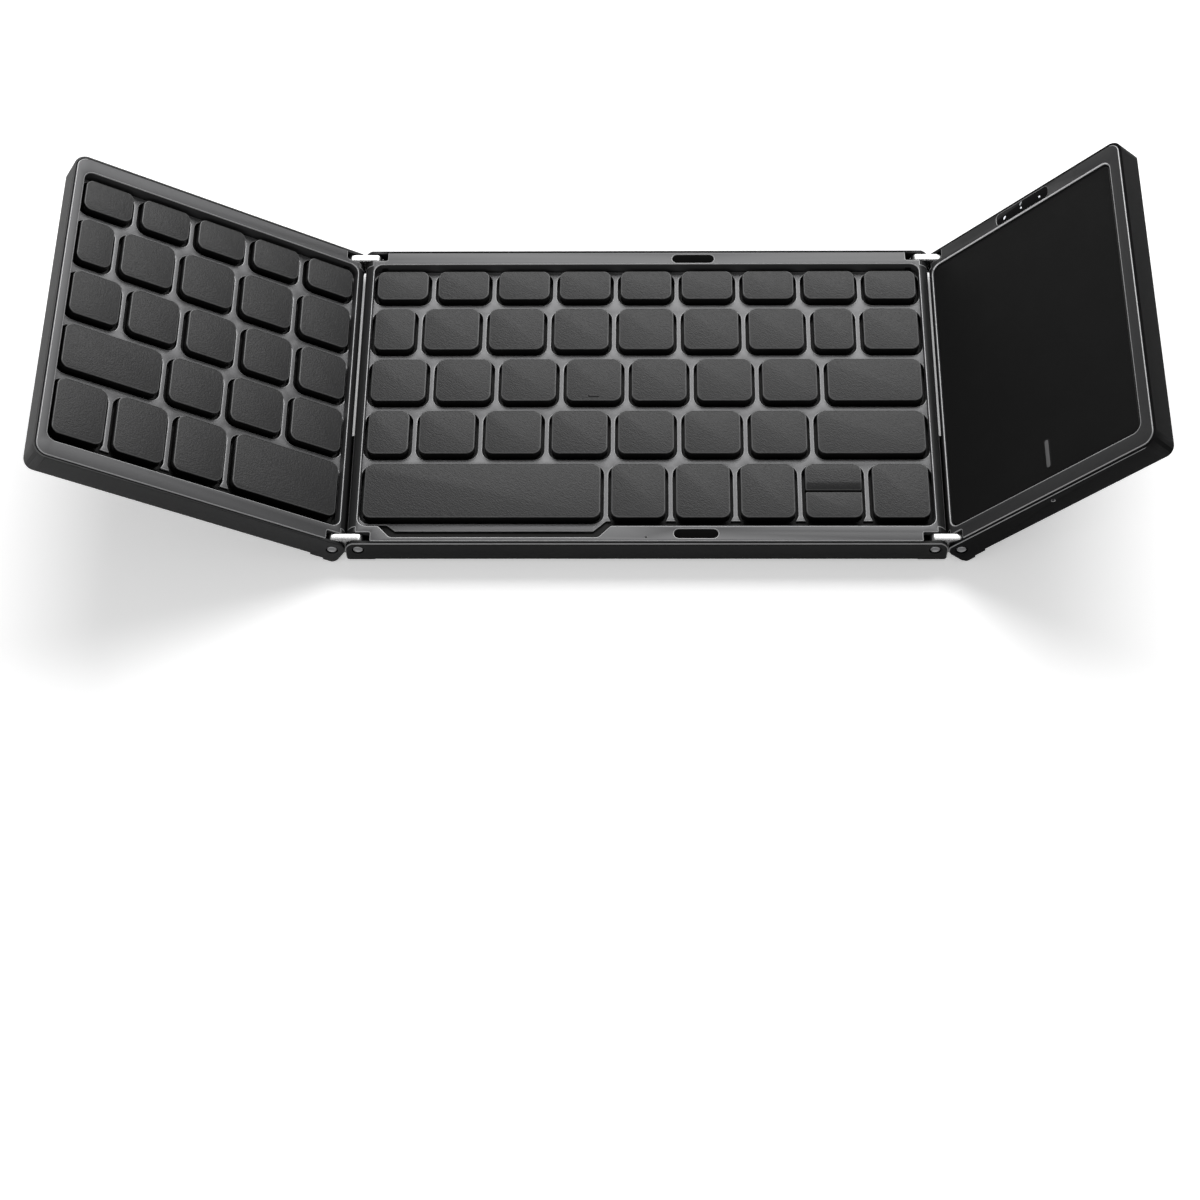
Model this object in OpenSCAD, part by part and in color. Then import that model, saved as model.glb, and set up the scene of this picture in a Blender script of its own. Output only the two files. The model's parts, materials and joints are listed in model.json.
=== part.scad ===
// Folding keyboard in three sections: a centre section with keys, a left wing with keys and a
// right wing with a touchpad. Each wing hangs on a pair of two-pin links, so that it folds flat
// on the centre section. The keyboard is drawn open on a desk, with both wings tilted up.

/* [Sections] */
// Depth of all three sections, front face to rear face
depth = 97; // [94:0.5:104]
// Height of a section, underside to the top of its rim
section_h = 7.8; // [7.7:0.1:8.6]
// Distance from the middle of the centre section to its hinge pins
centre_pin_x = 75; // [70:0.5:84]
// Width of the left wing, hinge pin to outer side
left_w = 82.6; // [78:0.1:90]
// Width of the right wing, hinge pin to outer side
right_w = 64.9; // [62:0.1:72]
// Tilt of the left wing above flat, in degrees
left_tilt = 30.5; // [0:0.5:60]
// Tilt of the right wing above flat, in degrees
right_tilt = 46.6; // [0:0.5:60]
// Radius of the wings' outer corners
corner_r = 4; // [2:0.5:6]

/* [Hinges] */
// Distance between the two pins of a link
link_pitch = 6.8; // [6.8:0.1:7.6]
// Gap between two sections that lie flat
section_gap = 0.8; // [0.6:0.1:1.2]
// Space left between the rims of two folded sections
fold_gap = 0.2; // [0.1:0.05:0.4]
// Thickness of a link
link_t = 2.3; // [1.6:0.1:2.4]
// Half the height of a link
link_r = 2.9; // [2.4:0.1:2.9]
// Radius of a hinge pin
pin_r = 1; // [0.8:0.05:1.2]
// Radius of a pin's head
pin_head_r = 1.3; // [1.2:0.05:1.4]
// Running clearance round a pin, on the radius
pin_clearance = 0.04; // [0.02:0.01:0.08]
// Thickness of the ear outside a link
ear_t = 1; // [0.8:0.1:1.1]
// Thickness of the lug inside a link, which carries the pin
lug_t = 1.5; // [1.2:0.1:1.6]

/* [Shells] */
// Thickness of a case's side walls
case_wall = 1.2; // [1.1:0.1:1.6]
// Height of a rubber foot below the underside
foot_h = 1.2; // [1:0.1:1.4]
// Thickness of the plate on the underside
base_plate_t = 0.8; // [0.6:0.1:0.9]
// Thickness of a case's floor above the base plate
floor_t = 0.6; // [0.5:0.1:0.8]
// Height of the lips under a wing's hinge corners
lip_h = 0.7; // [0.3:0.1:0.8]
// Width of the groove between a case and its top frame
parting_gap = 0.3; // [0.2:0.05:0.4]
// Width of the front rim, case included
front_rim = 5.5; // [5.4:0.1:6]
// Width of the rear rim, case included
rear_rim = 5; // [5:0.1:6]
// Width of the right wing's rear rim, which holds the indicator window
right_rear_rim = 5.5; // [5.4:0.1:6.5]
// Width of the left wing's outer rim
left_side_rim = 3.2; // [2.8:0.1:5]
// Width of the right wing's outer rim
right_side_rim = 4.2; // [3.2:0.1:6]
// Radius of the corners of a key well
well_r = 2.5; // [2:0.1:3]

/* [Keys] */
// Gap between neighbouring keys in a row
key_gap = 2.75; // [2.2:0.05:3.2]
// Gap between rows of keys
row_gap = 3.4; // [2.8:0.1:3.8]
// Depth of the front row's keys
front_key_d = 16.9; // [14:0.1:18]
// Depth of the rear row's short keys
short_key_d = 9.7; // [8:0.1:12]
// Corner radius of a key
key_r = 2.2; // [1.2:0.1:2.4]
// Depth of the key tops below the rim
key_drop = 1; // [0.8:0.1:1.4]
// Travel of a key
key_travel = 1.3; // [1:0.1:1.4]
// Clearance between a key and its hole in the web
key_clearance = 0.6; // [0.4:0.05:0.8]

/* [Touchpad] */
// Depth of the touchpad's face below the rim
pad_drop = 0.45; // [0.3:0.05:0.6]
// Clearance round the touchpad
pad_clearance = 0.3; // [0.2:0.05:0.5]
// Length of the tick mark between the two click zones
tick_len = 8.6; // [5:0.1:12]

/* [Ports] */
// Length of the power switch's slot
switch_slot_w = 20; // [14:0.5:21]
// Travel of the power switch
switch_travel = 4.5; // [2:0.5:5]
// Distance of the charging port's middle from the right wing's outer side
port_side = 20.9; // [15:0.1:23]
// Width of the charging port
port_w = 9; // [7.5:0.1:9.4]
// Gap between the charging port and the power switch's slot
port_switch_gap = 6.2; // [4.5:0.1:8.5]
// Length of the indicator window
window_len = 17.5; // [12:0.5:20]

/* [Hidden] */
$fn = 48;
cut = 1;                                   // how far a cutting shape runs past a face

// Hinge
pin_z = section_h - (link_pitch - fold_gap) / 2;   // pins above the underside
end_r = (link_pitch - section_gap) / 2;    // pin to the section's end face
lug_r = link_pitch / 2 - 0.15;             // the lugs nearly close the gap between the sections
ear_r = (link_pitch - fold_gap) / 2;       // round ear, which nearly meets its partner
ear_low_r = 0.9;                           // ear's lower corner
link_end = 1.5;                            // link's length past a pin
link_corner_r = 2.1;
side_play = 0.1;                           // beside a link and a pin
swing_gap = 0.3;                           // round a link's end in its pocket
link_f0 = ear_t + side_play;               // link's outer side, from the front face
link_f1 = link_f0 + link_t;
lug_f0 = link_f1 + 2 * side_play;
lug_f1 = lug_f0 + lug_t;
pocket_x = link_r + swing_gap;             // pocket's inner wall, from the pin
pocket_z = pin_z - link_r - swing_gap;     // pocket's floor
lug_top = pin_z + pin_r + 0.65;            // lug's height under the rim
head_gap = 0.3;                            // dark ring round a pin's head
head_f0 = 0.15;                            // head's face, from the front face

// Levels above the underside
floor_z = base_plate_t + floor_t;
wall_top = pin_z + end_r;                  // case wall, level with the round ears
ledge_z = section_h - 1.4;                 // top frame's outer edge rests here
web_t = 0.8;
key_top = section_h - key_drop;
web_top = key_top - 2;
web_z = web_top - web_t;
frame_z = pin_z + (section_h - wall_top);  // top frame's hinge side starts here
plate_t = 0.4;
membrane_z = floor_z + plate_t;
membrane_t = 0.5;
cap_h = 2.6;
cap_t = 1;
dome_top = key_top - cap_t - key_travel - 0.1;
edge_r = 1;                                // section's lower corners at the hinge
underside_r = 0.9;                         // lower edges of the wings
centre_underside_r = 0.5;
edge_t = 0.5;                              // case wall beside the parting groove
fit = 0.1;                                 // side clearance of what sits in a recess
inner_gap = 0.2;                           // clearance round the plates and boards

// Key wells
well_over = 0.3;                           // a well reaches this far past the pins
key_inset = 1.05;                          // first key from the well's end
front_inset = 3.3;                         // front row from the well's front edge
rear_inset = 1.6;
key_d = (depth - front_rim - rear_rim - front_inset - rear_inset
  - front_key_d - short_key_d - 4 * row_gap) / 3;
row_depths = [front_key_d, key_d, key_d, key_d, short_key_d];
front_row_y = front_rim + front_inset;

// Widths of the keys in each row, front row first, in shares of an ordinary key
centre_rows = [[4.2, 0.96, 0.96, 0.96, 1, 1],
  [0.735, 1, 1, 1, 1, 1, 1, 1.92],
  [1, 1, 1, 1, 1, 1, 1, 1.71],
  [0.727, 1, 1, 1, 1, 1, 1, 0.72, 1],
  [1, 1, 1, 1, 1, 1, 1, 1, 1]];
left_rows = [[2.16, 1, 1, 1],
  [1, 1, 1, 1.836],
  [1, 1, 1, 1, 1],
  [1, 1, 1, 1, 0.65],
  [1, 1, 1, 1, 1]];
arrow_col = 4;                             // column of the split up and down keys

centre_x0 = -centre_pin_x - well_over + key_inset;
centre_span = -2 * centre_x0;
left_x0 = -well_over + key_inset;
left_span = left_w - left_side_rim - key_inset - left_x0;

// The whole, standing on its feet with its middle over the origin
wing_pin_x = centre_pin_x + link_pitch;
function reach(w, tilt) = wing_pin_x + underside_r + (w - underside_r) * cos(tilt)
  + (pin_z - underside_r) * sin(tilt);
shift_x = (reach(left_w, left_tilt) - reach(right_w, right_tilt)) / 2;

// ---------- outlines ----------

// Rectangle with round corners, radius r
module round_rect(x0, y0, x1, y1, r) {
  translate([x0 + r, y0]) square([x1 - x0 - 2 * r, y1 - y0]);
  translate([x0, y0 + r]) square([x1 - x0, y1 - y0 - 2 * r]);
  for (x = [x0 + r, x1 - r], y = [y0 + r, y1 - r]) translate([x, y]) circle(r);
}

// Wing outline seen from above: square corners at the hinge, round ones outside
module wing_outline(x0, w, inset, r) {
  y0 = inset;
  y1 = depth - inset;
  translate([x0, y0]) square([w - inset - r - x0, y1 - y0]);
  translate([w - inset - 2 * r, y0 + r]) square([2 * r, y1 - y0 - 2 * r]);
  for (y = [y0 + r, y1 - r]) translate([w - inset - r, y]) circle(r);
}

// Hinge side of a section seen from the front, pin at x = 0, section towards +x up to x1
module hinge_side(x1, top, r) {
  translate([0, 0]) square([x1, top]);
  translate([0, top - r]) circle(r);
  translate([-r, edge_r]) square([r, top - r - edge_r]);
  translate([-r + edge_r, 0]) square([r - edge_r, edge_r]);
  translate([-r + edge_r, edge_r]) circle(edge_r);
}

// Section from the front: a wing's outer side has a round lower edge
module wing_front(w, top) {
  hinge_side(w - underside_r, top, end_r);
  translate([w / 2, underside_r]) square([w / 2, top - underside_r]);
  translate([w - underside_r, underside_r]) circle(underside_r);
}

module centre_front(top) {
  for (m = [0, 1]) mirror([m, 0]) translate([-centre_pin_x, 0])
    hinge_side(centre_pin_x, top, end_r);
}

// Section from the side, with round lower edges of radius r
module section_side(top, r) {
  translate([0, r]) square([depth, top - r]);
  translate([r, 0]) square([depth - 2 * r, r]);
  for (y = [r, depth - r]) translate([y, r]) circle(r);
}

// Extrudes an outline drawn from the front (x, z) along +y, from y0 to y1
module along_y(y0, y1) {
  translate([0, y1, 0]) rotate([90, 0, 0]) linear_extrude(y1 - y0) children();
}

// Extrudes an outline drawn from the side (y, z) along +x
module along_x(x0, x1) {
  translate([x0, 0, 0]) rotate([90, 0, 90]) linear_extrude(x1 - x0) children();
}

module slab(z0, z1) {
  translate([0, 0, z0]) linear_extrude(z1 - z0) children();
}

// Block from corner to corner
module block(x0, y0, z0, x1, y1, z1) {
  translate([x0, y0, z0]) cube([x1 - x0, y1 - y0, z1 - z0]);
}

// The same thing at the front and, mirrored, at the rear
module front_and_rear() {
  children();
  translate([0, depth, 0]) mirror([0, 1, 0]) children();
}

// The same thing at both hinges of the centre section
module both_hinges() {
  for (m = [0, 1]) mirror([m, 0, 0]) translate([-centre_pin_x, 0, 0]) children();
}

// ---------- places ----------

module at_centre() {
  translate([shift_x, -depth / 2, foot_h]) children();
}

module at_left() {
  translate([shift_x - wing_pin_x, -depth / 2, foot_h + pin_z]) mirror([1, 0, 0])
    rotate([0, -left_tilt, 0]) translate([0, 0, -pin_z]) children();
}

module at_right() {
  translate([shift_x + wing_pin_x, -depth / 2, foot_h + pin_z])
    rotate([0, -right_tilt, 0]) translate([0, 0, -pin_z]) children();
}

// ---------- hinge details, drawn for a pin at x = 0 with the section towards +x ----------

// Side of an ear: round above its pin, upright below it
module ear_side() {
  intersection() {
    union() {
      translate([0, pin_z]) circle(ear_r);
      translate([-ear_r, ear_low_r]) square([ear_r, pin_z - ear_low_r]);
      translate([-ear_r + ear_low_r, ear_low_r]) circle(ear_low_r);
      translate([-ear_r + ear_low_r, 0]) square([pocket_x + cut + ear_r - ear_low_r, wall_top]);
    }
    translate([-ear_r, 0]) square([pocket_x + cut + ear_r, wall_top]);
    union() {
      translate([0, pin_z]) circle(ear_r);
      translate([-ear_r, 0]) square([ear_r + cut, pin_z]);
      translate([0, 0]) square([pocket_x + cut, wall_top]);
    }
  }
}

// Ear outside the link and lug inside it, both part of the case
module hinge_lugs() {
  front_and_rear() {
    along_y(0, ear_t) ear_side();
    along_y(lug_f0, lug_f1) {
      difference() {
        translate([0, pin_z]) circle(lug_r);
        translate([-well_over - 0.5 - side_play, lug_top]) square(2 * lug_r);
      }
      translate([-end_r + edge_r, 0]) square([pocket_x + end_r - edge_r, lug_top]);
      translate([-end_r, edge_r]) square([end_r, pin_z - edge_r]);
      translate([-end_r + edge_r, edge_r]) circle(edge_r);
    }
  }
}

// Lips under the hinge corners of a wing
lip_x = 0.2;
lip_f = 5.6;
module hinge_lips() {
  front_and_rear() along_y(0, lip_f) {
    translate([-end_r + edge_r, -lip_h + edge_r]) circle(edge_r);
    translate([-end_r, -lip_h + edge_r]) square([edge_r, lip_h]);
    translate([-end_r + edge_r, -lip_h]) square([lip_x + end_r - edge_r, lip_h + edge_r]);
  }
}

// Room for the link, which swings from level to upright
module link_pocket() {
  front_and_rear() {
    block(-end_r - cut, ear_t, pocket_z, pocket_x, lug_f0, section_h + cut);
  }
}

// Clears the corner above the case's ears and lugs
module lug_room(x1) {
  front_and_rear() {
    block(-end_r - cut, -cut, -cut, pocket_x, lug_f0, section_h + cut);
    block(-end_r - cut, lug_f0 - cut, -cut, -well_over - 0.5, lug_f1 + side_play, section_h + cut);
    block(-end_r - cut, lug_f0 - cut, -cut, x1, lug_f1 + side_play, lug_top + side_play);
  }
}

// Bores for the pin: running fit in the lug, wide hole round the head in the ear
module pin_bores() {
  front_and_rear() {
    along_y(lug_f0 - cut, lug_f1 + cut) translate([0, pin_z]) circle(pin_r + pin_clearance);
    along_y(-cut, ear_t + side_play) translate([0, pin_z]) circle(pin_head_r + head_gap);
  }
}

// One link with its pins' holes, from the pin at x = 0 to the pin at x = -link_pitch
module link() {
  along_y(link_f0, link_f1) difference() {
    union() {
      translate([-link_pitch - link_end, pin_z - link_r + link_corner_r])
        square([link_pitch + 2 * link_end, 2 * (link_r - link_corner_r)]);
      translate([-link_pitch - link_end + link_corner_r, pin_z - link_r])
        square([link_pitch + 2 * (link_end - link_corner_r), 2 * link_r]);
      for (x = [link_end - link_corner_r, link_corner_r - link_end - link_pitch],
          z = [link_corner_r - link_r, link_r - link_corner_r])
        translate([x, pin_z + z]) circle(link_corner_r);
    }
    for (x = [0, -link_pitch]) translate([x, pin_z]) circle(pin_r);
  }
}

module links() {
  front_and_rear() link();
}

module pins() {
  front_and_rear() for (x = [0, -link_pitch]) {
    along_y(head_f0, link_f0) translate([x, pin_z]) circle(pin_head_r);
    along_y(link_f0 - 0.01, lug_f1 - side_play) translate([x, pin_z]) circle(pin_r);
  }
}

// Slot in the case's end wall, where the flex cable passes to the next section
cable_y0 = 13;
cable_y1 = 39;
cable_t = 0.4;
cable_z = membrane_z + membrane_t / 2;
cable_slot_h = cable_t + 0.6;
module cable_slot() {
  block(-end_r - cut, cable_y0 - swing_gap, cable_z - cable_slot_h / 2,
    0, cable_y1 + swing_gap, cable_z + cable_slot_h / 2);
}

// Cable seen from the front: a strip of one thickness with mitred bends along its centre line
function unit_normal(a, b) = [a[1] - b[1], b[0] - a[0]] / norm(b - a);
function mitre(path, i) =
  let (n0 = unit_normal(path[max(i - 1, 0)], path[max(i, 1)]),
    last = len(path) - 1,
    n1 = unit_normal(path[min(i, last - 1)], path[min(i + 1, last)]))
  (n0 + n1) / (1 + n0 * n1) * cable_t / 2;
module strip(path) {
  last = len(path) - 1;
  polygon(concat([for (i = [0 : last]) path[i] + mitre(path, i)],
    [for (i = [last : -1 : 0]) path[i] - mitre(path, i)]));
}

// Flex cable across one gap, in the frame of the centre's pin, next section towards -x
module flex_cable(tilt) {
  mouth = end_r + cable_t / 2;
  inner = [-well_over, cable_z];
  near = [-mouth, cable_z];
  low = cable_z - pin_z;
  function across(u) = [-link_pitch - u * cos(tilt) + low * sin(tilt),
    pin_z + u * sin(tilt) + low * cos(tilt)];
  along_y(cable_y0, cable_y1)
    strip([inner, near, across(-mouth), across(-well_over)]);
}

// ---------- shells ----------

// Base plate's outline, inset from the section's sides
plate_inset = 1.2;
plate_r = corner_r - plate_inset;
module wing_plate_outline(w, gap) {
  x = lip_x + inner_gap - gap;
  difference() {
    wing_outline(-end_r + plate_inset - gap, w, plate_inset - gap, plate_r + gap);
    translate([-end_r, 0]) square([x + end_r, lip_f + inner_gap - gap]);
    translate([-end_r, depth - lip_f - inner_gap + gap]) square([x + end_r, lip_f + inner_gap]);
  }
}

module centre_plate_outline(gap) {
  x = centre_pin_x + end_r - plate_inset + gap;
  y = plate_inset - gap;
  translate([-x, y]) square([2 * x, depth - 2 * y]);
}

// Feet: along x at the rear, along y at the front
foot_len = 11;
foot_w = 3.6;
foot_end = 11.5;                           // rear feet, from a section's ends
foot_rear = 3.9;
foot_hinge = 5.6;                          // front feet, from a hinge end
foot_side = 4.2;                           // and from an outer side
foot_front = 8.5;
foot_inset = 0.3;                          // foot's seat in the base plate
module foot_outline(grow) {
  round_rect(-foot_len / 2 - grow, -foot_w / 2 - grow, foot_len / 2 + grow, foot_w / 2 + grow,
    foot_w / 2 + grow);
}

module four_feet(x0, x1, side, grow) {
  for (x = [x0 + foot_end, x1 - foot_end])
    translate([x, depth - foot_rear]) foot_outline(grow);
  for (x = [x0 + foot_hinge, x1 - side])
    translate([x, foot_front]) rotate(90) foot_outline(grow);
}

module feet(x0, x1, side) {
  slab(-foot_h, foot_inset) four_feet(x0, x1, side, 0);
}

module foot_seats(x0, x1, side) {
  slab(-cut, foot_inset) four_feet(x0, x1, side, fit);
}

// Screws through the case floor into the top frame's bosses
screw_r = 0.6;
screw_head_r = 1.2;
boss_r = 1.7;
screw_f = 3;                               // from the front or rear face
screw_top = web_z + 0.3;
centre_screw_in = 17;                      // from a hinge pin
wing_screw_in = 8;                         // from the hinge pin or the outer side
centre_screw_x = [centre_screw_in - centre_pin_x, 0, centre_pin_x - centre_screw_in];
function wing_screw_x(w) = [wing_screw_in, w - wing_screw_in];
module at_screws(xs) {
  for (x = xs, y = [screw_f, depth - screw_f]) translate([x, y, 0]) children();
}

module screws(xs) {
  at_screws(xs) {
    translate([0, 0, base_plate_t]) cylinder(r = screw_head_r, h = floor_t / 2);
    translate([0, 0, base_plate_t]) cylinder(r = screw_r, h = screw_top - base_plate_t);
  }
}

module screw_holes(xs) {
  at_screws(xs) {
    translate([0, 0, base_plate_t - cut]) cylinder(r = screw_head_r + fit, h = floor_t / 2 + cut);
    translate([0, 0, base_plate_t]) cylinder(r = screw_r + fit, h = 2);
  }
}

module screw_bosses(xs) {
  at_screws(xs) difference() {
    translate([0, 0, floor_z]) cylinder(r = boss_r, h = web_z - floor_z + web_t / 2);
    translate([0, 0, floor_z - cut]) cylinder(r = screw_r + 0.02, h = screw_top - floor_z + cut);
  }
}

// Inside of a case: open above, end walls at the hinges, a ledge for the top frame all round
module wing_cavity(w) {
  slab(floor_z, section_h + cut)
    wing_outline(-end_r + case_wall, w, case_wall, corner_r - case_wall);
  slab(ledge_z, section_h + cut) wing_outline(-end_r - cut, w, edge_t, corner_r - edge_t);
  block(-end_r - cut, edge_t, frame_z, pocket_x, depth - edge_t, section_h + cut);
}

// Case of a wing, in the wing's own frame
module wing_case(w) {
  difference() {
    union() {
      difference() {
        intersection() {
          slab(0, wall_top) wing_outline(-end_r, w, 0, corner_r);
          along_y(-cut, depth + cut) wing_front(w, wall_top);
          along_x(-end_r - cut, w + cut) section_side(wall_top, underside_r);
        }
        wing_cavity(w);
        link_pocket();
      }
      hinge_lugs();
      hinge_lips();
    }
    pin_bores();
    slab(-cut, base_plate_t) wing_plate_outline(w, fit);
    screw_holes(wing_screw_x(w));
    cable_slot();
  }
}

module centre_case() {
  x = centre_pin_x + end_r;
  difference() {
    union() {
      difference() {
        intersection() {
          slab(0, wall_top) translate([-x, 0]) square([2 * x, depth]);
          along_y(-cut, depth + cut) centre_front(wall_top);
          along_x(-x - cut, x + cut) section_side(wall_top, centre_underside_r);
        }
        block(-x + case_wall, case_wall, floor_z, x - case_wall, depth - case_wall,
          section_h + cut);
        block(-x - cut, edge_t, ledge_z, x + cut, depth - edge_t, section_h + cut);
        both_hinges() {
          link_pocket();
          block(-end_r - cut, edge_t, frame_z, pocket_x, depth - edge_t, section_h + cut);
        }
      }
      both_hinges() hinge_lugs();
    }
    both_hinges() {
      pin_bores();
      cable_slot();
    }
    slab(-cut, base_plate_t) centre_plate_outline(fit);
    screw_holes(centre_screw_x);
  }
}

// ---------- keys ----------

function total(w, n) = n == 0 ? 0 : w[n - 1] + total(w, n - 1);
function unit(w, span) = (span - (len(w) - 1) * key_gap) / total(w, len(w));
function key_x(w, i, x0, span) = x0 + total(w, i) * unit(w, span) + i * key_gap;
function key_w(w, i, span) = w[i] * unit(w, span);
function row_y(r) = r == 0 ? front_row_y : row_y(r - 1) + row_depths[r - 1] + row_gap;

// Outlines of the keys of one row, grown on all sides
module key_outline(w, r, i, x0, span, grow) {
  x = key_x(w, i, x0, span);
  y = row_y(r);
  round_rect(x - grow, y - grow, x + key_w(w, i, span) + grow, y + row_depths[r] + grow,
    key_r + grow);
}

module key_holes(rows, x0, span) {
  for (r = [0 : len(rows) - 1], i = [0 : len(rows[r]) - 1])
    key_outline(rows[r], r, i, x0, span, key_clearance);
}

// Key cap: closed top, open below
cap_wall = 0.9;
module key_cap(x, y, w, d) {
  r_in = key_r - cap_wall > 0.3 ? key_r - cap_wall : 0.3;
  difference() {
    slab(key_top - cap_h, key_top) round_rect(x, y, x + w, y + d, key_r);
    slab(key_top - cap_h - cut, key_top - cap_t)
      round_rect(x + cap_wall, y + cap_wall, x + w - cap_wall, y + d - cap_wall, r_in);
  }
}

module key(rows, r, i, x0, span) {
  key_cap(key_x(rows[r], i, x0, span), row_y(r), key_w(rows[r], i, span), row_depths[r]);
}

module key_row(rows, r, x0, span) {
  for (i = [0 : len(rows[r]) - 1]) key(rows, r, i, x0, span);
}

module centre_key(r, i) {
  color([0.12, 0.12, 0.125]) at_centre() key(centre_rows, r, i, centre_x0, centre_span);
}

module centre_key_row(r) {
  color([0.12, 0.12, 0.125]) at_centre() key_row(centre_rows, r, centre_x0, centre_span);
}

module left_key_row(r) {
  color([0.12, 0.12, 0.125]) at_left() key_row(left_rows, r, left_x0, left_span);
}

// Half-depth key of the split column: 0 is the front half, 1 the rear half
split_gap = 0.9;
half_d = (front_key_d - split_gap) / 2;
split_r = 0.5;                             // corners on the split's side
module half_cap(w, d, r, inner_r, z0, z1) {
  slab(z0, z1) {
    round_rect(0, 0, w, d, r);
    round_rect(0, d / 2, w, d, inner_r);
  }
}

module half_key(half) {
  x = key_x(centre_rows[0], arrow_col, centre_x0, centre_span);
  w = key_w(centre_rows[0], arrow_col, centre_span);
  color([0.12, 0.12, 0.125]) at_centre()
    translate([x, row_y(0) + half * front_key_d, 0]) mirror([0, half, 0]) difference() {
      half_cap(w, half_d, key_r, split_r, key_top - cap_h, key_top);
      translate([cap_wall, cap_wall, 0]) half_cap(w - 2 * cap_wall, half_d - 2 * cap_wall,
        key_r - cap_wall, 0.3, key_top - cap_h - cut, key_top - cap_t);
    }
}

// Raised bar that marks the key under the forefinger
mark_key = 3;
mark_w = 3;
mark_d = 0.6;
mark_h = 0.25;
module home_key(i) {
  centre_key(2, i);
  if (i == mark_key) color([0.12, 0.12, 0.125]) at_centre()
    translate([key_x(centre_rows[2], i, centre_x0, centre_span)
      + key_w(centre_rows[2], i, centre_span) / 2 - mark_w / 2, row_y(2) + 1.2, key_top - 0.01])
      cube([mark_w, mark_d, mark_h]);
}

module short_row_keys() { centre_key_row(4); }
module second_row_keys() { centre_key_row(3); }
module fourth_row_keys() { centre_key_row(1); }
module home_key_1() { home_key(0); }
module home_key_2() { home_key(1); }
module home_key_3() { home_key(2); }
module home_key_4() { home_key(3); }
module home_key_5() { home_key(4); }
module home_key_6() { home_key(5); }
module home_key_7() { home_key(6); }
module home_key_8() { home_key(7); }
module space_bar() { centre_key(0, 0); }
module front_key_1() { centre_key(0, 1); }
module front_key_2() { centre_key(0, 2); }
module front_key_3() { centre_key(0, 3); }
module up_key() { half_key(1); }
module down_key() { half_key(0); }
module right_key() { centre_key(0, 5); }
module left_short_row_keys() { left_key_row(4); }
module left_second_row_keys() { left_key_row(3); }
module left_home_row_keys() { left_key_row(2); }
module left_fourth_row_keys() { left_key_row(1); }
module left_front_row_keys() { left_key_row(0); }

// ---------- centre section ----------

centre_well_x = centre_pin_x + well_over;
well_y1 = depth - rear_rim;

// Thumb relief in the front rim, before the space bar
relief_left = 7.6;                         // from the space bar's left side
relief_right = 0.5;                        // from its right side
relief_x0 = centre_x0 + relief_left;
relief_x1 = key_x(centre_rows[0], 1, centre_x0, centre_span) - key_gap - relief_right;
relief_y = 2;
relief_slope = 3.2;
module relief_outline() {
  polygon([[relief_x0 - relief_slope, front_rim + cut], [relief_x0 - relief_slope, front_rim],
    [relief_x0, relief_y], [relief_x1, relief_y], [relief_x1 + relief_slope, front_rim],
    [relief_x1 + relief_slope, front_rim + cut]]);
}

// Top frame's outer skin: the upper part fills the case up to the groove, the lower part
// stands inside the case walls
frame_inset = edge_t + parting_gap;
module centre_frame_body() {
  x = centre_pin_x + end_r;
  inner_x = x - case_wall - fit;
  y = case_wall + fit;
  intersection() {
    union() {
      block(-x, frame_inset, ledge_z, x, depth - frame_inset, section_h);
      block(-x, y, frame_z, x, depth - y, ledge_z + 0.01);
      block(-inner_x, y, web_z, inner_x, depth - y, frame_z + 0.01);
    }
    along_y(0, depth) centre_front(section_h);
  }
}

pad_len = 11.3;
pad_w = 2.6;
pad_x = 13;
pad_f = 3.1;
pad_t = 0.7;
rim_hole_r = 0.25;                         // small hole in the front rim
rim_hole_f = 2;
module pad_outlines(grow) {
  for (y = [pad_f, depth - pad_f])
    translate([pad_x, y]) round_rect(-pad_len / 2 - grow, -pad_w / 2 - grow,
      pad_len / 2 + grow, pad_w / 2 + grow, pad_w / 2 + grow);
}

module center_top_frame() {
  color([0.29, 0.29, 0.3]) at_centre() {
    difference() {
      centre_frame_body();
      slab(web_top, section_h + cut) {
        round_rect(-centre_well_x, front_rim, centre_well_x, well_y1, well_r);
        relief_outline();
      }
      slab(web_z - cut, web_top + cut) key_holes(centre_rows, centre_x0, centre_span);
      slab(section_h - pad_t, section_h + cut) {
        pad_outlines(fit);
        translate([0, rim_hole_f]) circle(rim_hole_r);
      }
      both_hinges() lug_room(pocket_x + fit);
      at_screws(centre_screw_x) translate([0, 0, web_z - cut])
        cylinder(r = screw_r + 0.02, h = screw_top - web_z + cut);
    }
    screw_bosses(centre_screw_x);
  }
}

module center_bottom_case() {
  color([0.06, 0.06, 0.065]) at_centre() centre_case();
}

centre_end_x = centre_pin_x + end_r;
module center_base_plate() {
  color([0.2, 0.2, 0.205]) at_centre() difference() {
    slab(0, base_plate_t) centre_plate_outline(0);
    foot_seats(-centre_end_x, centre_end_x, foot_hinge);
  }
}

module center_feet() {
  color([0.03, 0.03, 0.03]) at_centre() feet(-centre_end_x, centre_end_x, foot_hinge);
}

module center_bumper_pads() {
  color([0.02, 0.02, 0.02]) at_centre()
    slab(section_h - pad_t, section_h + fold_gap / 4) pad_outlines(0);
}

module center_screws() {
  color([0.6, 0.6, 0.62]) at_centre() screws(centre_screw_x);
}

// Plate under the keys and the rubber dome membrane on it
module inner_outline(x0, x1) {
  y = lug_f1 + inner_gap;
  translate([x0, y]) square([x1 - x0, depth - 2 * y]);
}

dome_r = 2.4;
dome_top_r = 1.5;
module dome(x, y) {
  translate([x, y, membrane_z + membrane_t - 0.01])
    cylinder(r1 = dome_r, r2 = dome_top_r, h = dome_top - membrane_z - membrane_t);
}

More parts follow.
